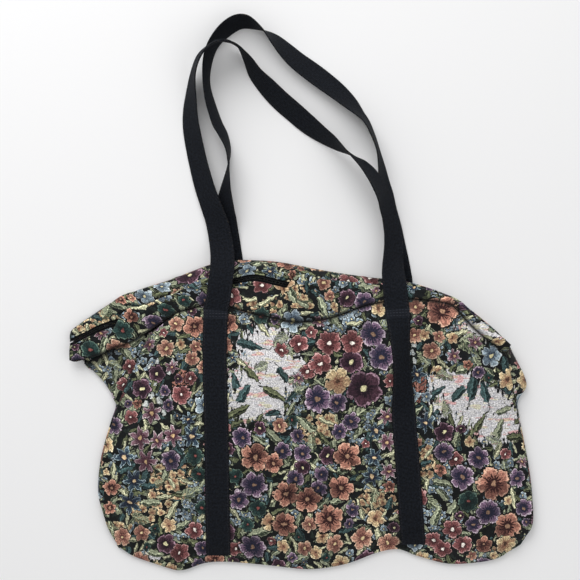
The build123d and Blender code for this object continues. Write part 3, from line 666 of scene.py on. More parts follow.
# how the pattern fills the cloth: its span, rounds of (radius, tries) for the smaller flowers,
# tries and half lengths for the leaves, and the radius from which a flower counts as large
growth = {
    "seed": 12, "across": (-330.0, 330.0), "up": (-400.0, 130.0), "swell": 1.08, "bell": 4.6,
    "rounds": ((14.0, 700), (11.0, 2500), (8.5, 6000), (6.5, 9000)),
    "leafTries": 5000, "leafSize": (9, 16), "large": 12.5,
}


def onCloth(across, down):
    middle = picture["middle"]
    return (across - middle[0]) * picture["unit"], (middle[1] - down) * picture["unit"]


def growPattern():
    # the planted motifs, and smaller ones wherever there is room for them on the whole cloth
    rng = random.Random(growth["seed"])

    def motif(x, y, size, kind, dim, bright, spin=(0, 6.28)):
        return [x, y, size, kind, rng.uniform(dim, bright), rng.uniform(*spin)]

    flowers = []
    for across, down, radius, kind in plantings:
        size = radius * picture["unit"] * growth["swell"]
        flowers.append(motif(*onCloth(across, down), size, bloomNames.index(kind), -0.18, 0.12))
    leaves = []
    for across, down, length, heading, kind in sprigs:
        form = [length * picture["unit"], leafNames.index(kind), rng.uniform(-0.15, 0.12)]
        leaves.append([*onCloth(across, down), *form, math.radians(heading)])
    for across, down in bells:
        spot = onCloth(across, down)
        leaves.append(motif(*spot, growth["bell"], leafNames.index("bell"), -0.1, 0.08, (1.1, 2.0)))
    taken = np.array([flower[:3] for flower in flowers])
    common = ["pansy", "rose", "poppy", "cream", "bit", "peach", "starPink", "starBlue", "mauve", "tealRed"]
    for radius, tries in growth["rounds"]:
        for _ in range(tries):
            x, y = rng.uniform(*growth["across"]), rng.uniform(*growth["up"])
            size = radius * rng.uniform(0.85, 1.1)
            room = np.hypot(taken[:, 0] - x, taken[:, 1] - y) - taken[:, 2] - size
            if room.min() > -0.5 and patchDepth(np.array([[x, y]])).max() < 0.25:
                flowers.append(motif(x, y, size, bloomNames.index(rng.choice(common)), -0.2, 0.12))
                taken = np.vstack([taken, [x, y, size]])
    spots = np.array([leaf[:3] for leaf in leaves])
    for _ in range(growth["leafTries"]):
        x, y = rng.uniform(*growth["across"]), rng.uniform(*growth["up"])
        size = rng.uniform(*growth["leafSize"])
        room = np.hypot(spots[:, 0] - x, spots[:, 1] - y) - (spots[:, 2] + size) * 0.55
        if room.min() > 0 and patchDepth(np.array([[x, y]]))[0, 0] < 0.6:
            leaves.append(motif(x, y, size, rng.choice([0, 0, 1, 2, 2, 3, 5]), -0.25, 0.1))
            spots = np.vstack([spots, [x, y, size]])
    return np.array(flowers), np.array(leaves)


def patchDepth(points):
    # how deep each point lies in a pale patch, a cream spray and the blue bits, 1 at their middles
    found = np.zeros((len(points), 3))
    for column, name in enumerate(("sky", "cream", "blue")):
        for across, down, wide, high in patches[name]:
            x, y = onCloth(across, down)
            away = np.hypot((points[:, 0] - x) / wide, (points[:, 1] - y) / high) / picture["unit"]
            found[:, column] = np.maximum(found[:, column], 1 - 0.5 * away)
    return np.maximum(found, 0)


flowers, leaves = growPattern()
print("pattern grown:", len(flowers), "flowers,", len(leaves), "sprigs")


def nearestMotif(centres, motifs):
    # the motif that each face lies nearest to, counted in that motif's own size
    best = np.zeros(len(centres), dtype=int)
    least = np.full(len(centres), 1e9)
    for i, motif in enumerate(motifs):
        away = np.hypot(centres[:, 0] - motif[0], centres[:, 1] - motif[1]) / motif[2]
        closer = away < least
        best[closer] = i
        least[closer] = away[closer]
    return best


def writeAttribute(mesh, name, kind, domain, rows):
    made = mesh.attributes.new(name, kind, domain)
    key = "value" if kind == "FLOAT" else "vector"
    made.data.foreach_set(key, rows.astype(np.float32).ravel())


def weavePattern(mesh, fabric, paintedShade):
    # writes where each motif lies on every face, so that the material can draw it
    faces = len(mesh.polygons)
    corners = np.zeros(len(mesh.loops), dtype=np.int32)
    mesh.loops.foreach_get("vertex_index", corners)
    owner = np.repeat(np.arange(faces), [p.loop_total for p in mesh.polygons])
    at = fabric[corners]
    counts = np.bincount(owner, minlength=faces)
    centres = np.stack([np.bincount(owner, at[:, i], faces) / counts for i in (0, 1)], axis=1)
    large = flowers[:, 2] >= growth["large"]
    for layer, motifs in (("sprig", leaves), ("flower", flowers[~large]), ("blossom", flowers[large])):
        chosen = motifs[nearestMotif(centres, motifs)][owner]
        x, y, size, kind, shift, spin = chosen.T
        dx, dy = turned(at[:, 0] - x, at[:, 1] - y, spin)
        writeAttribute(mesh, layer + "Place", "FLOAT_VECTOR", "CORNER", stacked(dx / size, dy / size, kind))
        writeAttribute(mesh, layer + "Form", "FLOAT_VECTOR", "CORNER", stacked(shift, 1.5 / size, 0.0))
    cloth = stacked(fabric[:, 0] * mm, fabric[:, 1] * mm, 0.0)
    writeAttribute(mesh, "fabric", "FLOAT_VECTOR", "POINT", cloth)
    # how much painted shade darkens each point, near the seams
    writeAttribute(mesh, "paintedShade", "FLOAT", "POINT", paintedShade)
    writeAttribute(mesh, "region", "FLOAT_VECTOR", "POINT", patchDepth(fabric))


def gridMesh(name, points, closed=False):
    # a mesh of four-sided faces over a grid of points, closed across its second direction or not
    rows, columns = points.shape[:2]
    index = np.arange(rows * columns).reshape(rows, columns)
    if closed:
        index = np.hstack([index, index[:, :1]])
    quads = stacked(index[:-1, :-1], index[1:, :-1], index[1:, 1:], index[:-1, 1:]).reshape(-1, 4)
    mesh = bpy.data.meshes.new(name)
    mesh.from_pydata((points.reshape(-1, 3) * mm).tolist(), [], quads.tolist())
    mesh.polygons.foreach_set("use_smooth", [True] * len(quads))
    mesh.update()
    return mesh


def newPiece(name, mesh, material):
    mesh.materials.append(material)
    piece = bpy.data.objects.new(name, mesh)
    bpy.context.collection.objects.link(piece)
    return piece


def clothPiece(name, node, points, fabric, paintedShade):
    mesh = gridMesh(name, points)
    weavePattern(mesh, fabric.reshape(-1, 2), paintedShade)
    piece = newPiece(name, mesh, tapestryMaterial)
    solid = piece.modifiers.new("thickness", "SOLIDIFY")
    solid.thickness = bag["cloth"] * mm
    solid.offset = -1.0
    solid.use_even_offset = False
    bpy.context.view_layer.objects.active = piece
    bpy.ops.object.modifier_apply(modifier="thickness")
    # nothing goes below the floor
    spots = np.empty(len(mesh.vertices) * 3)
    mesh.vertices.foreach_get("co", spots)
    spots[2::3] = np.maximum(spots[2::3], bag["clear"] * mm)
    mesh.vertices.foreach_set("co", spots)
    mesh.update()
    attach(piece, "bag")
    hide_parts(node)
    return piece


# Top gusset, as the frame has it: each station is a line from the bag's outer edge to the front
# seam, in percent, then the zip's inset, height and roll, the kind of fold and the seam's height
stations = [
    ((-50.0, 76.6), (-50.0, 67.6), 13.5, 9.0, 0, "open", 10.5),
    ((-48.8, 77.9), (-48.0, 67.2), 14.5, 9.5, 0, "open", 11.5),
    ((-43.5, 82.8), (-42.2, 70.2), 18.0, 10.5, 0, "open", 14.0),
    ((-38.5, 87.3), (-36.6, 73.7), 26.0, 12.0, 0, "rolled", 18.0),
    ((-33.8, 89.9), (-31.0, 78.6), 26.0, 13.0, 0, "rolled", 22.0),
    ((-27.8, 92.8), (-25.7, 83.4), 23.0, 14.0, 0, "rolled", 26.5),
    ((-19.5, 98.0), (-19.0, 85.7), 25.0, 14.5, 0, "rolled", 28.0),
    ((-14.3, 99.6), (-13.0, 83.8), 24.0, 16.5, 0, "open", 28.0),
    ((-9.8, 100.0), (-9.8, 82.5), 22.0, 17.5, 0, "open", 28.0),
    ((-5.2, 99.4), (-5.7, 81.2), 25.0, 16.5, 0, "open", 28.5),
    ((-1.0, 98.3), (-1.0, 79.9), 26.0, 15.0, 0, "rolled", 29.0),
    ((6.3, 96.2), (6.3, 81.2), 21.5, 14.0, 0, "rolled", 29.5),
    ((14.8, 94.2), (14.4, 85.4), 16.5, 14.0, 8, "rolled", 30.0),
    ((22.1, 92.8), (22.1, 87.3), 13.0, 14.0, 35, "shoulder", 30.5),
    ((27.7, 90.2), (27.4, 86.9), 11.0, 14.3, 70, "shoulder", 30.0),
    ((31.2, 88.2), (30.0, 86.3), 10.5, 14.5, 88, "shoulder", 30.0),
]
shoulder = {
    "start": (33.5, 86.7), "end": (45.1, 72.5), "seams": [8.0, 11.0, 13.0, 13.0, 12.5],
    "inset": 10.5, "zip": 15.0, "roll": 90, "height": 29.5, "fall": 0.6,
}
# where the front strip turns between the zip and the seam, from the zip
folds = {
    "rolled": [(9.5, 5.5), (-7.0, 9.0), (-5.0, 13.0)],
    "shoulder": [(-4.0, 8.5), (-8.0, 10.0), (-8.2, 13.5)],
}


def easedFold(inset, height, reach, seamHeight):
    # the turns of a strip that lies open, from the zip's edge up to the seam
    start = inset + bag["zipOpening"] / 2 + 4
    low = height + bag["cloth"]
    found = []
    for part, rise in ((0.3, 2.0), (0.55, 2.6), (0.8, 1.6)):
        across = start + part * (reach - start) - inset
        found.append((across, low + part * (seamHeight - low) + rise - height))
    return found


# how far the cloth rolls out beyond the flat back, at each station and along the shoulder
rollOut = [
    0, 1.5, 3.5, 4.5, 4.0, 4.0, 2.5, 1.5, 0, 0.5, 0.5,
    0.5, 1.0, 2.0, 3.0, 3.5, 3.5, 4.0, 4.0, 3.5, 1.0,
]


def readStations():
    rows = []
    for outer, inner, inset, height, roll, kind, seamHeight in stations:
        a, b = place(*outer), place(*inner)
        reach = np.linalg.norm(b - a)
        bend = folds.get(kind) or easedFold(inset, height, reach, seamHeight)
        rows.append((a, (b - a) / reach, reach, inset, height, roll, seamHeight, bend))
    start, end = place(*shoulder["start"]), place(*shoulder["end"])
    inward = rightOf(unit(end - start))
    last = len(shoulder["seams"]) - 1
    for step, seam in enumerate(shoulder["seams"]):
        spot, high = start + (end - start) * step / last, shoulder["height"] - step * shoulder["fall"]
        way = (shoulder["inset"], shoulder["zip"], shoulder["roll"])
        rows.append((spot, inward, seam, *way, high, folds["shoulder"]))
    keys = ("outer", "inward", "reach", "inset", "height", "roll", "seamHeight", "bend")
    found = {key: np.array([row[i] for row in rows]) for i, key in enumerate(keys)}
    out = np.array(rollOut)
    found["outer"] = found["outer"] - found["inward"] * out[:, None]
    found["reach"] = found["reach"] + out
    found["inset"] = found["inset"] + out
    seam = found["outer"] + found["inward"] * found["reach"][:, None]
    found["seam"] = seam + upward * found["seamHeight"][:, None]
    return found


gusset = readStations()


strip = {
    "along": 320, "across": 36, "wrinkle": 1.1, "pucker": 0.8, "edge": 4.5, "inset": 0.9,
    "flats": {"front_top_strip": (0.64, 0.075), "back_top_strip": (0.64, 0.036)},
}


def stripLines(t):
    # the outer faces of both strips: the front one from the zip to the seam, the back one from
    # the bag's edge to the zip
    inset, height = flow(gusset["inset"], t), flow(gusset["height"], t)
    roll = np.radians(flow(gusset["roll"], t))
    c, s = np.cos(roll), np.sin(roll)
    lift = bag["cloth"] + bag["layerGap"]
    opening = bag["zipOpening"] / 2
    front, back = [], []
    for along in (opening, opening + strip["edge"]):
        front.append((inset + along * c - lift * s, height + along * s + lift * c))
        back.append((inset - along * c - lift * s, height - along * s + lift * c))
    for i in range(3):
        bend = flow(gusset["bend"][:, i], t)
        front.append((inset + bend[:, 0], height + bend[:, 1]))
    front.append((flow(gusset["reach"], t), flow(gusset["seamHeight"], t)))
    foot = (strip["inset"] + 0 * t, pleatLow + 2 * bag["cloth"] + 0 * t)
    first = back[1]
    rise = 0.14 * (first[0] - foot[0]) * c + 0.3
    line = [(foot[0], pleatLow - 0.6 + 0 * t), foot]
    for part in (0.4, 0.75):
        across = foot[0] + part * (first[0] - foot[0])
        line.append((across, foot[1] + part * (first[1] - foot[1]) + rise))
    back = line + [back[1], back[0]]
    return np.array(front).transpose(2, 0, 1), np.array(back).transpose(2, 0, 1)


def makeStrips():
    t, s = np.linspace(0, 1, strip["along"]), np.linspace(0, 1, strip["across"])
    outer, inward = flow(gusset["outer"], t), unit(flow(gusset["inward"], t))
    seam = flow(gusset["seam"], t)
    along = lengthAlong(outer)[:, None]
    free = np.clip(np.sin(np.pi * s), 0, 1) ** 0.5
    for name, line in zip(strip["flats"], stripLines(t)):
        isFront = name == "front_top_strip"
        fine = np.array([flow(row, s) for row in line])
        points = outer[:, None] + inward[:, None] * fine[..., :1] + upward * fine[..., 1:]
        if isFront:
            points = points[:, ::-1]
        across = np.array([lengthAlong(row) for row in points])
        fromSeam = across if isFront else 60 + across[:, -1:] - across
        fabric = stacked(seam[:, :1], seam[:, 1:2] + fromSeam)
        # painted shade: the front strip darkens next to its seam, where shade falls under the roll
        paintedShade = 0.85 * np.exp(-((across / 3.2) ** 2)) if isFront else 0 * across
        ripple = softNoise(along + 0 * across, across, 14.0, 5) * strip["wrinkle"]
        ripple += softNoise(along + 0 * across, across * 0.4, 6.0, 6) * strip["pucker"]
        points = points + facing(points, len(t) // 2, len(s) // 2) * (ripple * free)[..., None]
        if surfaceNormals(points)[60, 20, 2] < 0:
            points, fabric, paintedShade = points[::-1], fabric[::-1], paintedShade[::-1]
        clothPiece(name + "_cloth", name, points, fabric, paintedShade)


makeStrips()
print("gusset strips made")

# Bottom edge, end panels and the front's seams, as the frame has them
bottomEdge = [
    (-38.6, 7.8), (-35.1, 4.8), (-28.8, 0.6), (-25.5, 0.0), (-20.6, 2.3), (-15.2, 2.6), (-6.9, 1.5),
    (2.2, 0.2), (10.2, 1.9), (17.0, 5.6), (21.7, 6.6), (26.1, 4.3), (33.4, 1.8), (41.6, 3.6), (46.8, 8.2),
]
leftEnd = [
    ((-47.0, 66.2), (-27.2, 81.0), 21.0), ((-44.8, 63.4), (-30.6, 77.6), 20.0),
    ((-43.0, 60.5), (-33.4, 72.6), 18.5), ((-41.3, 57.2), (-35.4, 66.0), 16.5),
    ((-40.3, 54.7), (-37.9, 58.0), 12.0), ((-39.5, 52.1), 7.0, 0),
    ((-40.7, 45.9), 14.0, 0), ((-42.7, 34.6), 26.0, 0),
    ((-43.3, 23.7), 29.0, 0), ((-41.9, 15.6), 16.0, 0),
]
rightEnd = [
    ((45.6, 71.4), (43.7, 69.2), 25.5), ((46.8, 66.9), (44.7, 65.4), 22.5),
    ((47.9, 61.4), (45.4, 60.3), 19.5), ((47.9, 57.9), (45.6, 56.8), 16.5),
    ((46.4, 54.0), 6.0, 0), ((46.9, 48.2), 12.0, 0),
    ((48.8, 34.0), 25.0, 0), ((49.9, 23.3), 29.0, 0), ((49.9, 15.4), 15.0, 0),
]
# the front's side seams: (across, up, height)
frontSeams = {
    "left": [
        (-38.4, 8.2, 4.5), (-41.0, 14.6, 8.5), (-42.9, 23.7, 8.5), (-42.3, 34.6, 8.5), (-40.3, 46.0, 8.5),
        (-38.9, 52.4, 11.5), (-37.2, 58.6, 15.0), (-34.7, 66.6, 19.5), (-32.6, 73.4, 22.0),
        (-29.8, 78.4, 24.5),
    ],
    "right": [
        (46.2, 8.6, 4.5), (49.0, 14.0, 8.5), (49.3, 23.3, 8.5), (48.3, 34.0, 8.5), (46.5, 48.2, 8.5),
        (45.6, 53.6, 13.5), (45.1, 57.0, 18.0), (44.9, 60.4, 21.5), (44.2, 65.4, 24.5),
    ],
}
# soft folds of the frame: (across, up, heading, half length, half width, rise)
softFolds = [
    (12.0, 35.0, 38, 60.0, 16.0, 2.5), (-29.0, 56.0, -55, 70.0, 16.0, 2.5),
    (34.0, 62.0, -42, 70.0, 16.0, 2.5), (36.0, 22.0, -58, 70.0, 16.0, 2.5),
]
# finer creases that the frame leaves out, given the same way
creases = [
    (10.5, 33.0, 38, 42.0, 5.0, -2.2), (13.5, 38.0, 38, 36.0, 5.0, 1.6),
    (-27.0, 60.0, -58, 50.0, 6.0, 2.0), (-30.5, 50.0, -50, 50.0, 5.0, -2.0),
    (-31.0, 18.0, 52, 45.0, 6.0, 2.0), (3.0, 14.0, 3, 60.0, 6.0, 1.8), (0.0, 74.0, -6, 50.0, 4.0, 1.6),
    (-2.0, 70.0, -8, 46.0, 4.0, -1.6), (38.0, 45.0, 70, 40.0, 5.0, 1.8),
    (30.0, 30.0, -60, 50.0, 6.0, -1.6), (-36.0, 34.0, 78, 44.0, 5.0, 1.6),
    (33.0, 12.0, -30, 44.0, 6.0, 1.8), (40.0, 66.0, -40, 40.0, 5.0, -2.0),
    (-10.0, 8.0, 8, 44.0, 5.0, -1.6), (12.0, 56.0, -66, 40.0, 6.0, 1.4),
]
# the front's grid, how strongly it creases and how it rises and sinks beside and under the legs,
# then (outward, upward) of the rows by which its edges turn down and under
front = {
    "columns": 250, "rows": 165, "wrinkle": 1.7, "ripple": 0.8, "pucker": 1.5, "creaseScale": 1.6,
    "beside": 20.0, "besideWidth": 5.0, "besideRise": 1.6, "under": (12.0, 17.0), "sink": 0.8,
    "rowStep": 2.3, "drift": 2.5, "flat": (0.575, 0.375),
    "bottomDrops": [(2.0, 0.2), (3.8, -0.3), (5.2, -1.3), (5.6, -2.3), (4.6, -3.1), (2.2, -3.5)],
    "sideDrops": [(1.6, 0.2), (3.2, -0.2), (4.2, -1.1), (4.0, -2.0), (2.6, -2.5)],
}


def foldHeight(points, rows):
    total = np.zeros(points.shape[:-1])
    for across, height, heading, halfLength, halfWidth, rise in rows:
        spot = place(across, height)
        dx, dy = turned(points[..., 0] - spot[0], points[..., 1] - spot[1], math.radians(heading))
        total += rise * np.exp(-((dx / halfLength) ** 2) - (dy / halfWidth) ** 2)
    return total


def coons(low, high, left, right, u, v):
    # a sheet between four edges, each given by its points
    lows, highs = flow(low, u)[None], flow(high, u)[None]
    lefts, rights = flow(left, v)[:, None], flow(right, v)[:, None]
    uu, vv = u[None, :, None], v[:, None, None]
    corners = (left[0] * (1 - uu) + right[0] * uu) * (1 - vv) + (left[-1] * (1 - uu) + right[-1] * uu) * vv
    return lows * (1 - vv) + highs * vv + lefts * (1 - uu) + rights * uu - corners


def frontSurface(u, v):
    # the front's inner face, as the frame has it
    top = (gusset["seam"] + gusset["inward"] * bag["seamGap"])[5:]
    left = np.vstack([[place(*row) for row in frontSeams["left"]], top[:1]])
    right = np.vstack([[place(*row) for row in frontSeams["right"]], top[-1:]])
    low = np.vstack([left[:1], [place(*p, pleatLow) for p in bottomEdge[1:-1]], right[:1]])
    points = coons(low, top, left, right, u, v)
    uu, vv = np.meshgrid(u, v)
    swell = bag["frontSwell"] * (1 - (2 * uu - 1) ** 4) * (1 - (1 - vv) ** 3) * (1 - vv**4)
    swell = swell * bag["swellScale"]
    inside = np.minimum.reduce([np.ones_like(uu), 6 * uu, 6 * (1 - uu), 6 * vv, 6 * (1 - vv)])
    points[..., 2] += swell + inside * foldHeight(points, softFolds)
    return points, inside


# where the legs of the handles are sewn down, in percent like the rest
frontLegs = {
    "left": [(-17.8, 3.6), (-17.9, 20.7), (-18.1, 48.2), (-18.4, 70.5), (-18.2, 84.0)],
    "right": [
        (24.4, 7.2), (23.7, 18.4), (22.9, 33.6), (22.1, 48.2), (21.6, 62.7), (21.0, 76.5), (20.6, 84.2),
    ],
}
backLegs = {
    "left": [(-17.0, 6.0), (-16.5, 40.0), (-15.2, 80.0)],
    "right": [(23.0, 9.0), (22.6, 40.0), (22.2, 78.0)],
}
# a fold across which the right leg lies tilted: its middle, its half sizes and its slope
tuck = {"y": -88.0, "length": 46.0, "width": 28.0, "slope": 1.25}


def legMiddle(route, y):
    # where a leg's middle lies across the bag at a height up it
    line = flow([place(*p) for p in route], np.linspace(0, 1, 80))
    return np.interp(y, line[:, 1], line[:, 0])


# how far the lower corners fill out beyond the flat back: their places with the way that each
# goes, how far it goes and how wide
corners = {"spots": ((-38.6, 7.8, -1.0, -1.0), (46.8, 8.2, 1.0, -1.0)), "push": 5.5, "reach": 42.0}


def cornerPush(x, y):
    total = np.zeros(x.shape + (2,))
    for across, height, sideways, down in corners["spots"]:
        spot = place(across, height)
        near = np.exp(-(((x - spot[0]) ** 2 + (y - spot[1]) ** 2) / corners["reach"] ** 2))
        total += near[..., None] * np.array([sideways, down]) * corners["push"]
    return total


def turnEdge(edgeRow, innerRow, drops):
    outward = unit((edgeRow - innerRow) * np.array([1, 1, 0]))
    return [edgeRow + outward * out + upward * down for out, down in drops]


def frontLift(points, inside):
    # what the cloth does beyond the frame's surface: creases, wrinkles, puckers and the legs' marks
    x, y = points[..., 0], points[..., 1]
    lift = inside * foldHeight(points, creases) * front["creaseScale"]
    lift += inside * softNoise(x + 0.4 * y, y, 34.0, 21) * front["wrinkle"]
    lift += np.minimum(inside * 2, 1) * softNoise(x, y * 0.7, 13.0, 22) * front["ripple"]
    lift += (1 - inside) * inside * 4 * softNoise(x * 1.4, y * 1.4, 9.0, 23) * front["pucker"]
    off = x - legMiddle(frontLegs["right"], y)
    fall = np.exp(-((off / tuck["width"]) ** 2) - ((y - tuck["y"]) / tuck["length"]) ** 2)
    lift -= inside * tuck["slope"] * off * fall
    for route in frontLegs.values():
        away = np.abs(x - legMiddle(route, y))
        beside = np.exp(-(((away - front["beside"]) / front["besideWidth"]) ** 2))
        lift += inside * beside * (front["besideRise"] + softNoise(x, y, 17.0, 24))
        lift -= inside * (1 - ease(*front["under"], away)) * front["sink"]
    return lift


def makeFront():
    u, v = np.linspace(0, 1, front["columns"]), np.linspace(0, 1, front["rows"])
    points, inside = frontSurface(u, v)
    push = cornerPush(points[..., 0], points[..., 1])
    points[..., 2] += frontLift(points, inside) + bag["cloth"]
    points[..., :2] += push

    # the seam edges turn down and under, towards the layer beneath
    rows = turnEdge(points[0], points[1], front["bottomDrops"])[::-1]
    points = np.concatenate([np.array(rows), points])
    leftSide = turnEdge(points[:, 0], points[:, 1], front["sideDrops"])[::-1]
    rightSide = turnEdge(points[:, -1], points[:, -2], front["sideDrops"])
    points = np.concatenate([np.stack(leftSide, axis=1), points, np.stack(rightSide, axis=1)], axis=1)
    drift = [softNoise(points[..., 0], points[..., 1], 70.0, seed) for seed in (31, 32)]
    fabric = points[..., :2] + stacked(*drift) * front["drift"]

    # painted shade: darker towards the gusset's seam, where shade falls under the strip, and, less, towards
    # both sides
    high, wide = points.shape[:2]
    fromTop = np.arange(high)[::-1, None] * front["rowStep"]
    fromSide = np.minimum(np.arange(wide), np.arange(wide)[::-1])[None] * front["rowStep"]
    paintedShade = 0.75 * np.exp(-((fromTop / 5.0) ** 2)) + 0.4 * np.exp(-((fromSide / 7.0) ** 2))
    points, fabric = points.transpose(1, 0, 2), fabric.transpose(1, 0, 2)
    paintedShade = np.clip(paintedShade, 0, 0.75).T
    return clothPiece("front_cloth", "front_panel", points, fabric, paintedShade)


frontCloth = makeFront()
print("front made")

back = {"columns": 190, "rows": 120, "wave": 0.15, "rim": 1.1, "shift": 40, "flat": (0.575, 0.375)}


def makeBack():
    top = gusset["outer"]
    low = np.array([place(*p) for p in bottomEdge])
    left = np.vstack([low[:1], [place(*row[0]) for row in leftEnd[::-1]], top[:1]])
    right = np.vstack([low[-1:], [place(*row[0]) for row in rightEnd[::-1]], top[-1:]])
    u, v = np.linspace(0, 1, back["columns"]), np.linspace(0, 1, back["rows"])
    points = coons(low, top, left, right, u, v)
    x, y = points[..., 0], points[..., 1]
    uu, vv = np.meshgrid(u, v)
    rim = np.minimum.reduce([uu, 1 - uu, vv, 1 - vv]) * 60
    points[..., 2] = backLow + back["wave"] * softNoise(x, y, 25.0, 41) + back["rim"] * np.exp(-rim)
    fabric = stacked(-x, y - back["shift"])
    points[..., :2] += cornerPush(x, y)
    return clothPiece("back_cloth", "back_panel", points, fabric, 0 * x)


makeBack()
print("back made")


# how far the end panels bulge beyond the flat back, row by row, then what both of them share
endPanel = {
    "left_end_panel": [1.0, 0.5, 0.5, 1.5, 3.0, 4.5, 5.0, 5.0, 4.5, 4.0],
    "right_end_panel": [0.0, 2.0, 5.5, 7.0, 5.5, 4.5, 4.0, 3.0, 2.5],
    "rows": 120, "columns": 44, "inset": 0.9, "flat": (0.27, 0.10), "wrinkle": 0.8,
}


def makeEnd(name, rows, away, seed):
    # a row either spreads from the back's edge to the front's seam, or folds into a pleat between them
    foot, edge = pleatLow + bag["cloth"], endPanel["inset"]
    marks = [place(*row[0]) for row in rows]
    lines = []
    for i, (mark, out) in enumerate(zip(marks, endPanel[name])):
        far, seamHeight = rows[i][1:]
        if isinstance(far, tuple):
            inward = unit(place(*far) - mark)
            reach = np.linalg.norm(place(*far) - mark)
            rise = seamHeight - foot
            line = [
                (edge - out, foot), (edge + reach * 0.12 - out * 0.8, foot + rise * 0.34),
                (reach * 0.55, foot + rise * 0.72), (reach, seamHeight),
            ]
        else:
            inward = rightOf(unit(marks[min(i + 1, len(marks) - 1)] - marks[i - 1])) * away
            over = foot + bag["pleatGap"]
            line = [(edge - out, foot), (edge + far, foot), (edge + far, over), (edge - out * 0.6, over)]
        line = np.array(line)
        fine = [line[0], (line[0] + line[1]) / 2, line[1], line[2], (line[2] + line[3]) / 2, line[3]]
        lines.append([mark + inward * a + upward * z for a, z in fine])
    t, s = np.linspace(0, 1, endPanel["rows"]), np.linspace(0, 1, endPanel["columns"])
    points = np.array([flow(row, s) for row in flow(np.array(lines), t)])
    showing = 1 - ease(0.3, 0.45, t)[:, None]
    free = np.clip(np.sin(np.pi * s), 0, 1)[None] ** 0.5
    ripple = softNoise(points[..., 0], points[..., 1], 12.0, seed) * endPanel["wrinkle"]
    points = points + facing(points, 8, 20) * (showing * free * ripple)[..., None]
    fabric = points[..., :2] + [away * 6, -10]
    # painted shade: darker along the seam with the front and along the top row, under the gusset's strip
    paintedShade = 0.8 * np.maximum(np.exp(-((1 - s[None]) / 0.12) ** 2), np.exp(-(t[:, None] / 0.07) ** 2))
    if surfaceNormals(points)[8, 20, 2] < 0:
        points, fabric, paintedShade = points[::-1], fabric[::-1], paintedShade[::-1]
    return clothPiece(name + "_cloth", name, points, fabric, paintedShade)


makeEnd("left_end_panel", leftEnd, -1, 51)
makeEnd("right_end_panel", rightEnd, 1, 52)
print("end panels made")

# Webbing: rows are (across, up, roll in degrees, height of the lower selvedge)
frontLoop = [
    (-17.6, -15.0, 0, 32.0), (-17.3, -10.0, 0, 32.0), (-16.9, -4.0, 2, 27.0), (-16.9, 2.0, 6, 15.0),
    (-17.3, 8.0, 14, 6.0), (-18.1, 15.3, 22, 3.2), (-19.4, 22.5, 30, 2.8), (-20.8, 30.2, 35, 1.0),
    (-22.2, 40.0, 38, 0.3), (-23.2, 49.0, 41, 0.3), (-23.8, 57.0, 48, 0.3), (-23.8, 64.5, 57, 0.8),
    (-23.4, 72.0, 68, 5.0), (-22.4, 79.0, 75, 19.0), (-20.8, 83.6, 79, 28.5), (-19.2, 86.4, 80, 30.0),
    (-17.8, 87.6, 79, 29.0), (-16.3, 88.0, 78, 23.0), (-14.6, 87.6, 80, 15.0), (-12.9, 85.6, 90, 7.0),
    (-11.5, 81.6, 107, 2.0), (-9.8, 75.8, 122, 0.3), (-7.2, 70.4, 134, 0.3), (-4.6, 65.4, 140, 0.3),
    (-1.6, 60.5, 141, 0.3), (1.4, 55.7, 137, 0.3), (4.4, 51.3, 126, 0.5), (7.3, 47.5, 111, 2.0),
    (9.7, 44.5, 92, 8.0), (12.0, 41.0, 74, 19.0), (13.9, 37.2, 64, 28.0), (15.4, 33.2, 58, 31.0),
    (16.8, 28.8, 54, 25.0), (18.0, 24.3, 49, 13.0), (19.1, 19.0, 45, 6.0), (19.8, 13.5, 41, 4.6),
    (20.1, 7.0, 36, 4.8), (20.0, 1.0, 30, 9.0), (19.9, -4.0, 20, 18.0), (20.0, -8.0, 8, 27.0),
    (20.2, -12.5, 0, 33.0), (20.4, -16.5, 0, 34.0),
]
backLoop = [
    (-15.0, -6.0, 0, 0.0), (-15.2, 0.0, 0, 0.0), (-15.5, 4.0, 0, 0.0), (-15.8, 8.0, 4, 0.1),
    (-16.3, 15.3, 14, 0.2), (-16.3, 22.5, 42, 0.3), (-16.1, 30.2, 66, 0.5), (-15.6, 38.5, 86, 1.0),
    (-15.6, 45.2, 99, 0.8), (-16.7, 51.3, 110, 0.4), (-18.0, 56.0, 113, 0.3), (-19.3, 63.5, 110, 0.3),
    (-20.2, 71.5, 104, 0.3), (-20.2, 79.0, 106, 0.3), (-19.5, 85.2, 110, 0.3), (-18.1, 90.1, 114, 0.3),
    (-15.9, 94.4, 121, 0.3), (-13.5, 97.0, 120, 0.3), (-11.3, 96.9, 112, 0.5), (-8.7, 94.4, 90, 1.0),
    (-5.6, 89.8, 60, 0.3), (-3.0, 85.2, 44, 0.3), (-0.6, 81.2, 36, 0.3), (2.4, 77.0, 31, 0.3),
    (5.3, 72.9, 32, 0.3), (8.0, 68.8, 38, 0.3), (10.5, 64.4, 50, 0.3), (12.6, 60.0, 66, 0.3),
    (14.2, 56.4, 74, 0.3), (15.6, 51.0, 78, 0.3), (16.8, 44.4, 79, 0.3), (17.5, 37.7, 70, 0.3),
    (18.0, 31.0, 58, 0.3), (18.6, 26.0, 51, 0.3), (19.2, 19.5, 46, 0.3), (20.0, 12.0, 38, 0.3),
    (20.6, 5.0, 30, 0.2), (21.1, -1.5, 14, 0.1), (21.4, -5.0, 3, 0.0), (21.7, -8.5, 0, 0.0),
    (21.9, -15.0, 0, 0.0),
]
webbing = {
    "step": 2.2, "gap": 0.15, "edge": 0.75, "floor": 0.05, "frontSections": 60, "backSections": 20,
    "ribPitch": 0.0016, "yarnPitch": 0.0011, "stitchInset": 0.0024, "stitch": 0.0042, "relief": 0.0004,
}


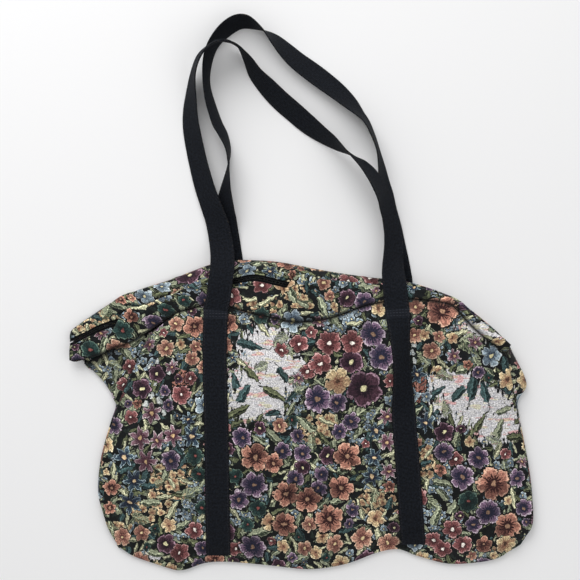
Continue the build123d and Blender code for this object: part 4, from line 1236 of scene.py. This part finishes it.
def webbingMaterial():
    material, k, shader = newMaterial("webbing", 0.82, 0.15)
    strap = k.parts(k.attribute("strap"))
    rib = k.sine(k.times(strap[0], 2 * math.pi / webbing["ribPitch"]))
    yarn = k.sine(k.times(strap[1], 2 * math.pi / webbing["yarnPitch"]))
    grain = k.noise(k.attribute("strap"), 420.0, 3.0)["Fac"]
    colour = k.mix(k.step(0.3, 0.7, grain), tone(2, 3, 6), tone(20, 24, 31))
    colour = k.mix(k.times(k.step(0.0, 1.0, rib), 0.36), colour, tone(40, 46, 58))
    rim = k.step(0.011, 0.015, k.absolute(strap[1]))
    lint = k.step(0.60, 0.72, k.noise(k.attribute("strap"), 900.0, 4.0)["Fac"])
    colour = k.mix(k.times(k.plus(0.12, k.times(rim, 0.5)), lint), colour, tone(96, 86, 74))
    off = k.minus(k.absolute(strap[1]), 0.015 - webbing["stitchInset"])
    row = k.rest(k.step(0.0002, 0.0005, k.absolute(off)))
    dash = k.step(-0.75, -0.4, k.sine(k.times(strap[0], 2 * math.pi / webbing["stitch"])))

    # a reinforcing band of stitched bars where each leg leaves the bag
    below = k.attribute("below", "Fac")
    band = k.times(k.step(0.0, 0.0006, below), k.rest(k.step(0.0118, 0.0124, below)))
    bars = k.absolute(k.minus(k.math("FRACT", k.math("DIVIDE", below, 0.0036)), 0.5))
    bars = k.times(k.rest(k.step(0.06, 0.14, bars)), band)
    dots = k.step(-0.6, -0.2, k.sine(k.times(strap[1], 2 * math.pi / 0.0038)))
    bars = k.times(bars, dots)
    colour = k.mix(k.times(band, 0.35), colour, tone(34, 37, 46))
    colour = k.mix(k.times(bars, 0.7), colour, tone(64, 66, 74))
    stitch = k.times(k.times(row, dash), strap[2])
    colour = k.mix(k.times(stitch, 0.6), colour, tone(52, 52, 58))
    k.feed(shader.inputs["Base Color"], colour)
    height = k.plus(k.times(rib, 0.5), k.times(yarn, 0.2))
    groove = k.times(k.times(row, strap[2]), k.minus(k.times(dash, 2.2), 1.4))
    groove = k.plus(groove, k.times(bars, 0.8))
    k.emboss(shader, k.plus(k.plus(height, grain), groove), webbing["relief"], 0.8)
    return material


webbingLook = webbingMaterial()


def heightOver(tree, x, y, default):
    hit = tree.ray_cast(Vector((x * mm, y * mm, 0.2)), Vector((0, 0, -1)))
    return default if hit[0] is None else hit[0].z / mm


def legLine(route, count):
    # places along a leg, each with the way across it
    line = flow([place(*p) for p in route], np.linspace(0, 1, count))
    return [(spot, rightOf(way)) for spot, way in zip(line, unit(np.gradient(line, axis=0)))]


def legOnFront(route, tree):
    # the leg's sections, sewn down onto the front as it lies
    found = []
    half = bag["webbingWidth"] / 2
    ends = [-1, -0.5, 0, 0.5, 1]
    for spot, side in legLine(route, webbing["frontSections"]):
        heights = [heightOver(tree, *(spot + side * k * half)[:2], 0) for k in ends]
        slope = (heights[-1] - heights[0]) / (2 * half)
        bows = max(h - heights[0] - slope * (k + 1) * half for k, h in zip(ends, heights))
        middle = (heights[0] + heights[-1]) / 2 + bows * 0.7 + webbing["gap"] + bag["webbingThickness"] / 2
        found.append((spot + upward * middle, unit(side + upward * slope)))
    return found


def legUnderBack(route):
    middle = upward * bag["webbingThickness"] / 2
    return [(spot + middle, side) for spot, side in legLine(route, webbing["backSections"])]


def loopSections(loop):
    across, height, roll, low = np.array(loop).T
    roll = np.radians(roll)
    tilt = np.abs(np.sin(roll)) * bag["webbingWidth"] / 2
    tilt += np.abs(np.cos(roll)) * bag["webbingThickness"] / 2
    middles = np.array([beyond(*spot) for spot in zip(across, height, low + tilt)])
    t, step = np.linspace(0, 1, len(loop)), 0.004
    found = []
    for spot, way, angle in zip(middles, unit(flow(middles, t + step) - flow(middles, t - step)), roll):
        side = unit(rightOf(way))
        found.append((spot, side * math.cos(angle) + np.cross(side, way) * math.sin(angle)))
    return found


def strapProfile():
    # half rounded selvedges and flat faces: (across, off) round the webbing
    half, thick, edge = bag["webbingWidth"] / 2, bag["webbingThickness"] / 2, webbing["edge"]
    face = np.linspace(-half + edge, half - edge, 13)
    turn = np.radians([-60, -30, 0, 30, 60])
    upper = [(x, thick) for x in face]
    lower = [(x, -thick) for x in face[::-1]]
    right = [(half - edge + edge * math.cos(a), thick * math.sin(a)) for a in turn[::-1]]
    left = [(-half + edge - edge * math.cos(a), thick * math.sin(a)) for a in turn]
    return np.array(upper + right + lower + left)


def closeEnds(mesh, count):
    # a face over the first ring of a tube and over the last one
    bm = bmesh.new()
    bm.from_mesh(mesh)
    verts = list(bm.verts)
    bm.faces.new(verts[:count][::-1])
    bm.faces.new(verts[-count:])
    bm.to_mesh(mesh)
    bm.free()


def makeStrap(name, node, sections, sewn, seed):
    # sections are (middle, way across), and sewn counts where the free loop starts and ends
    spots = np.array([s[0] for s in sections])
    sides = np.array([s[1] for s in sections])
    length = lengthAlong(spots)
    fine = np.linspace(0, length[-1], int(length[-1] / webbing["step"]))
    t = np.interp(fine, length, np.linspace(0, 1, len(spots)))
    middle, side = flow(spots, t), flow(sides, t)
    ahead = unit(np.gradient(middle, axis=0))
    side = unit(side - ahead * (side * ahead).sum(-1, keepdims=True))
    off = np.cross(side, ahead)
    profile = strapProfile()

    # the free loop curls and waves, and the sewn legs don't
    along = fine[:, None]
    loose = ease(0, 25, along - length[sewn[0]]) * (1 - ease(-25, 0, along - length[sewn[1]]))
    curl = loose * (0.5 + 0.6 * softNoise(along, along * 0, 60.0, seed))
    rounds = profile[None, :, 0] / (bag["webbingWidth"] / 2)
    wave = loose * 0.35 * softNoise(along + 0 * rounds, rounds * 20, 22.0, seed + 1)
    bow = curl * (rounds**2 - 0.4) + wave
    points = middle[:, None] + side[:, None] * profile[None, :, :1]
    points += off[:, None] * (profile[None, :, 1] + bow)[..., None]
    points[..., 2] = np.maximum(points[..., 2], webbing["floor"])
    mesh = gridMesh(name, points[:, ::-1], closed=True)
    below = np.maximum(length[sewn[0] - 1] - along, along - length[sewn[1]]) * mm + 0 * rounds
    writeAttribute(mesh, "below", "FLOAT", "POINT", below)
    local = stacked(along * mm, profile[None, ::-1, 0] * mm, 1 - loose)
    writeAttribute(mesh, "strap", "FLOAT_VECTOR", "POINT", local)
    closeEnds(mesh, len(profile))
    piece = newPiece(name, mesh, webbingLook)
    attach(piece, "bag")
    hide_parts(node)
    print(name, len(mesh.polygons), "faces,", round(length[-1]), "mm long")
    return piece


def makeHandle(name, node, left, right, loop, seed):
    right = [(spot, -side) for spot, side in right[::-1]]
    sewn = (len(left), len(left) + len(loop))
    makeStrap(name, node, left + loopSections(loop) + right, sewn, seed)


def makeHandles():
    tree = BVHTree.FromObject(frontCloth, bpy.context.evaluated_depsgraph_get())
    left, right = (legOnFront(frontLegs[side], tree) for side in ("left", "right"))
    makeHandle("front_handle", "front_webbing", left, right, frontLoop, 61)
    left, right = (legUnderBack(backLegs[side]) for side in ("left", "right"))
    makeHandle("back_handle", "back_webbing", left, right, backLoop, 71)


makeHandles()
print("handles made")

# Zip: a woven tape and a wound coil each side, then the metal parts
zipParts = {
    "tapeHalf": 3.8, "tapeThickness": 0.6, "edge": 0.3, "thin": 0.1, "part": 1.6, "steps": 600,
    "coilMiddle": 1.2, "coilHeight": 0.77, "swing": 0.84, "rise": 0.42, "wire": 0.24, "pitch": 1.5,
    "turnSteps": 8, "fromEnd": 8.0, "stopsBefore": 7.3,
}


def zipFrame(t):
    # the zip's middle, the way across it and the way out of it
    outer, inward = flow(gusset["outer"], t), unit(flow(gusset["inward"], t))
    middle = outer + inward * flow(gusset["inset"], t)[:, None] + upward * flow(gusset["height"], t)[:, None]
    roll = np.radians(flow(gusset["roll"], t))[:, None]
    c, s = np.cos(roll), np.sin(roll)
    return middle, inward * c + upward * s, upward * c - inward * s


def tapeMaterial():
    material, k, shader = newMaterial("zipTape", 0.85, 0.15)
    strap = k.parts(k.attribute("strap"))
    slant = k.plus(strap[0], k.times(k.absolute(strap[1]), 0.9))
    twill = k.sine(k.times(slant, 2 * math.pi / 0.0009))
    grain = k.noise(k.attribute("strap"), 700.0, 2.0)["Fac"]
    colour = k.mix(k.step(0.3, 0.8, grain), tone(14, 15, 18), tone(30, 31, 35))
    colour = k.mix(k.times(k.step(0.0, 1.0, twill), 0.3), colour, tone(44, 45, 50))
    k.feed(shader.inputs["Base Color"], colour)
    k.emboss(shader, k.plus(twill, grain), 0.0002)
    return material


def hardMaterial(name, low, high, metallic, rough):
    # black nylon or enamelled metal, with faint rubbing over it
    material, k, shader = newMaterial(name, rough)
    shader.inputs["Metallic"].default_value = metallic
    shape = k.node("ShaderNodeTexCoord").outputs["Object"]
    rub = k.noise(shape, 900.0, 4.0, "3D")["Fac"]
    k.feed(shader.inputs["Base Color"], k.mix(k.step(0.52, 0.75, rub), tone(*low), tone(*high)))
    k.feed(shader.inputs["Roughness"], k.plus(rough - 0.1, k.times(rub, 0.25)))
    k.emboss(shader, rub, 0.00004)
    return material


def zipPiece(name, node, mesh, material):
    piece = newPiece(name, mesh, material)
    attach(piece, "bag")
    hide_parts(node)


def tapeMesh(name, side, run, middle, across, normal):
    # a flat tape with thinner edges, beside the zip's middle
    half, thick, edge, thin = (zipParts[key] for key in ("tapeHalf", "tapeThickness", "edge", "thin"))
    upper = [(-half, -thin), (-half + edge, 0), (0, 0), (half - edge, 0), (half, -thin)]
    ring = np.array(upper + [(x, -thick - y) for x, y in upper[::-1]])
    along = ring[:, 0] + side * (zipParts["part"] / 2 + half)
    points = middle[:, None] + across[:, None] * along[:, None] + normal[:, None] * ring[:, 1:]
    mesh = gridMesh(name, points, closed=True)
    local = stacked(run[:, None] * mm, ring[None, :, 0] * mm, 0.0)
    writeAttribute(mesh, "strap", "FLOAT_VECTOR", "POINT", local)
    return mesh


def coilMesh(name, side, run, t):
    # a wound wire: each side's turns stand half a turn from the other's
    z = zipParts
    turns = int((run[-1] - z["fromEnd"] - z["stopsBefore"]) / z["pitch"])
    beat = np.arange(turns * z["turnSteps"] + 1) / z["turnSteps"]
    spot, lean, rise = zipFrame(np.interp(z["fromEnd"] + beat * z["pitch"], run, t))
    angle = beat * 2 * math.pi + (0 if side > 0 else math.pi)
    out = side * (z["coilMiddle"] + z["swing"] * np.cos(angle))
    core = spot + lean * out[:, None] + rise * (z["coilHeight"] + z["rise"] * np.sin(angle))[:, None]
    middle = spot + rise * z["coilHeight"] + lean * side * z["coilMiddle"]
    ahead = unit(np.gradient(core, axis=0))
    second = unit(np.cross(ahead, unit(core - middle)))
    third = np.cross(second, ahead)
    wire = np.radians([0, 72, 144, 216, 288])[:, None]
    points = third[:, None] * np.cos(wire) + second[:, None] * np.sin(wire)
    return gridMesh(name, core[:, None] + z["wire"] * points, closed=True)


def makeZip():
    tape, coil = tapeMaterial(), hardMaterial("zipCoil", (16, 16, 18), (38, 38, 42), 0.0, 0.45)
    t = np.linspace(0, 1, zipParts["steps"])
    middle, across, normal = zipFrame(t)
    run = lengthAlong(middle)
    for name, side in (("front", 1), ("back", -1)):
        mesh = tapeMesh(name + "_tape", side, run, middle, across, normal)
        zipPiece(name + "_tape", name + "_zip_tape", mesh, tape)
        mesh = coilMesh(name + "_coil", side, run, t)
        zipPiece(name + "_coil", name + "_zip_coil", mesh, coil)
    enamel = hardMaterial("zipEnamel", (18, 18, 20), (70, 68, 66), 0.7, 0.38)
    for node in ("zip_end_stop", "zip_top_stops", "zip_slider", "zip_pull"):
        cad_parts[node].material_slots[0].material = enamel


makeZip()
print("zip made")
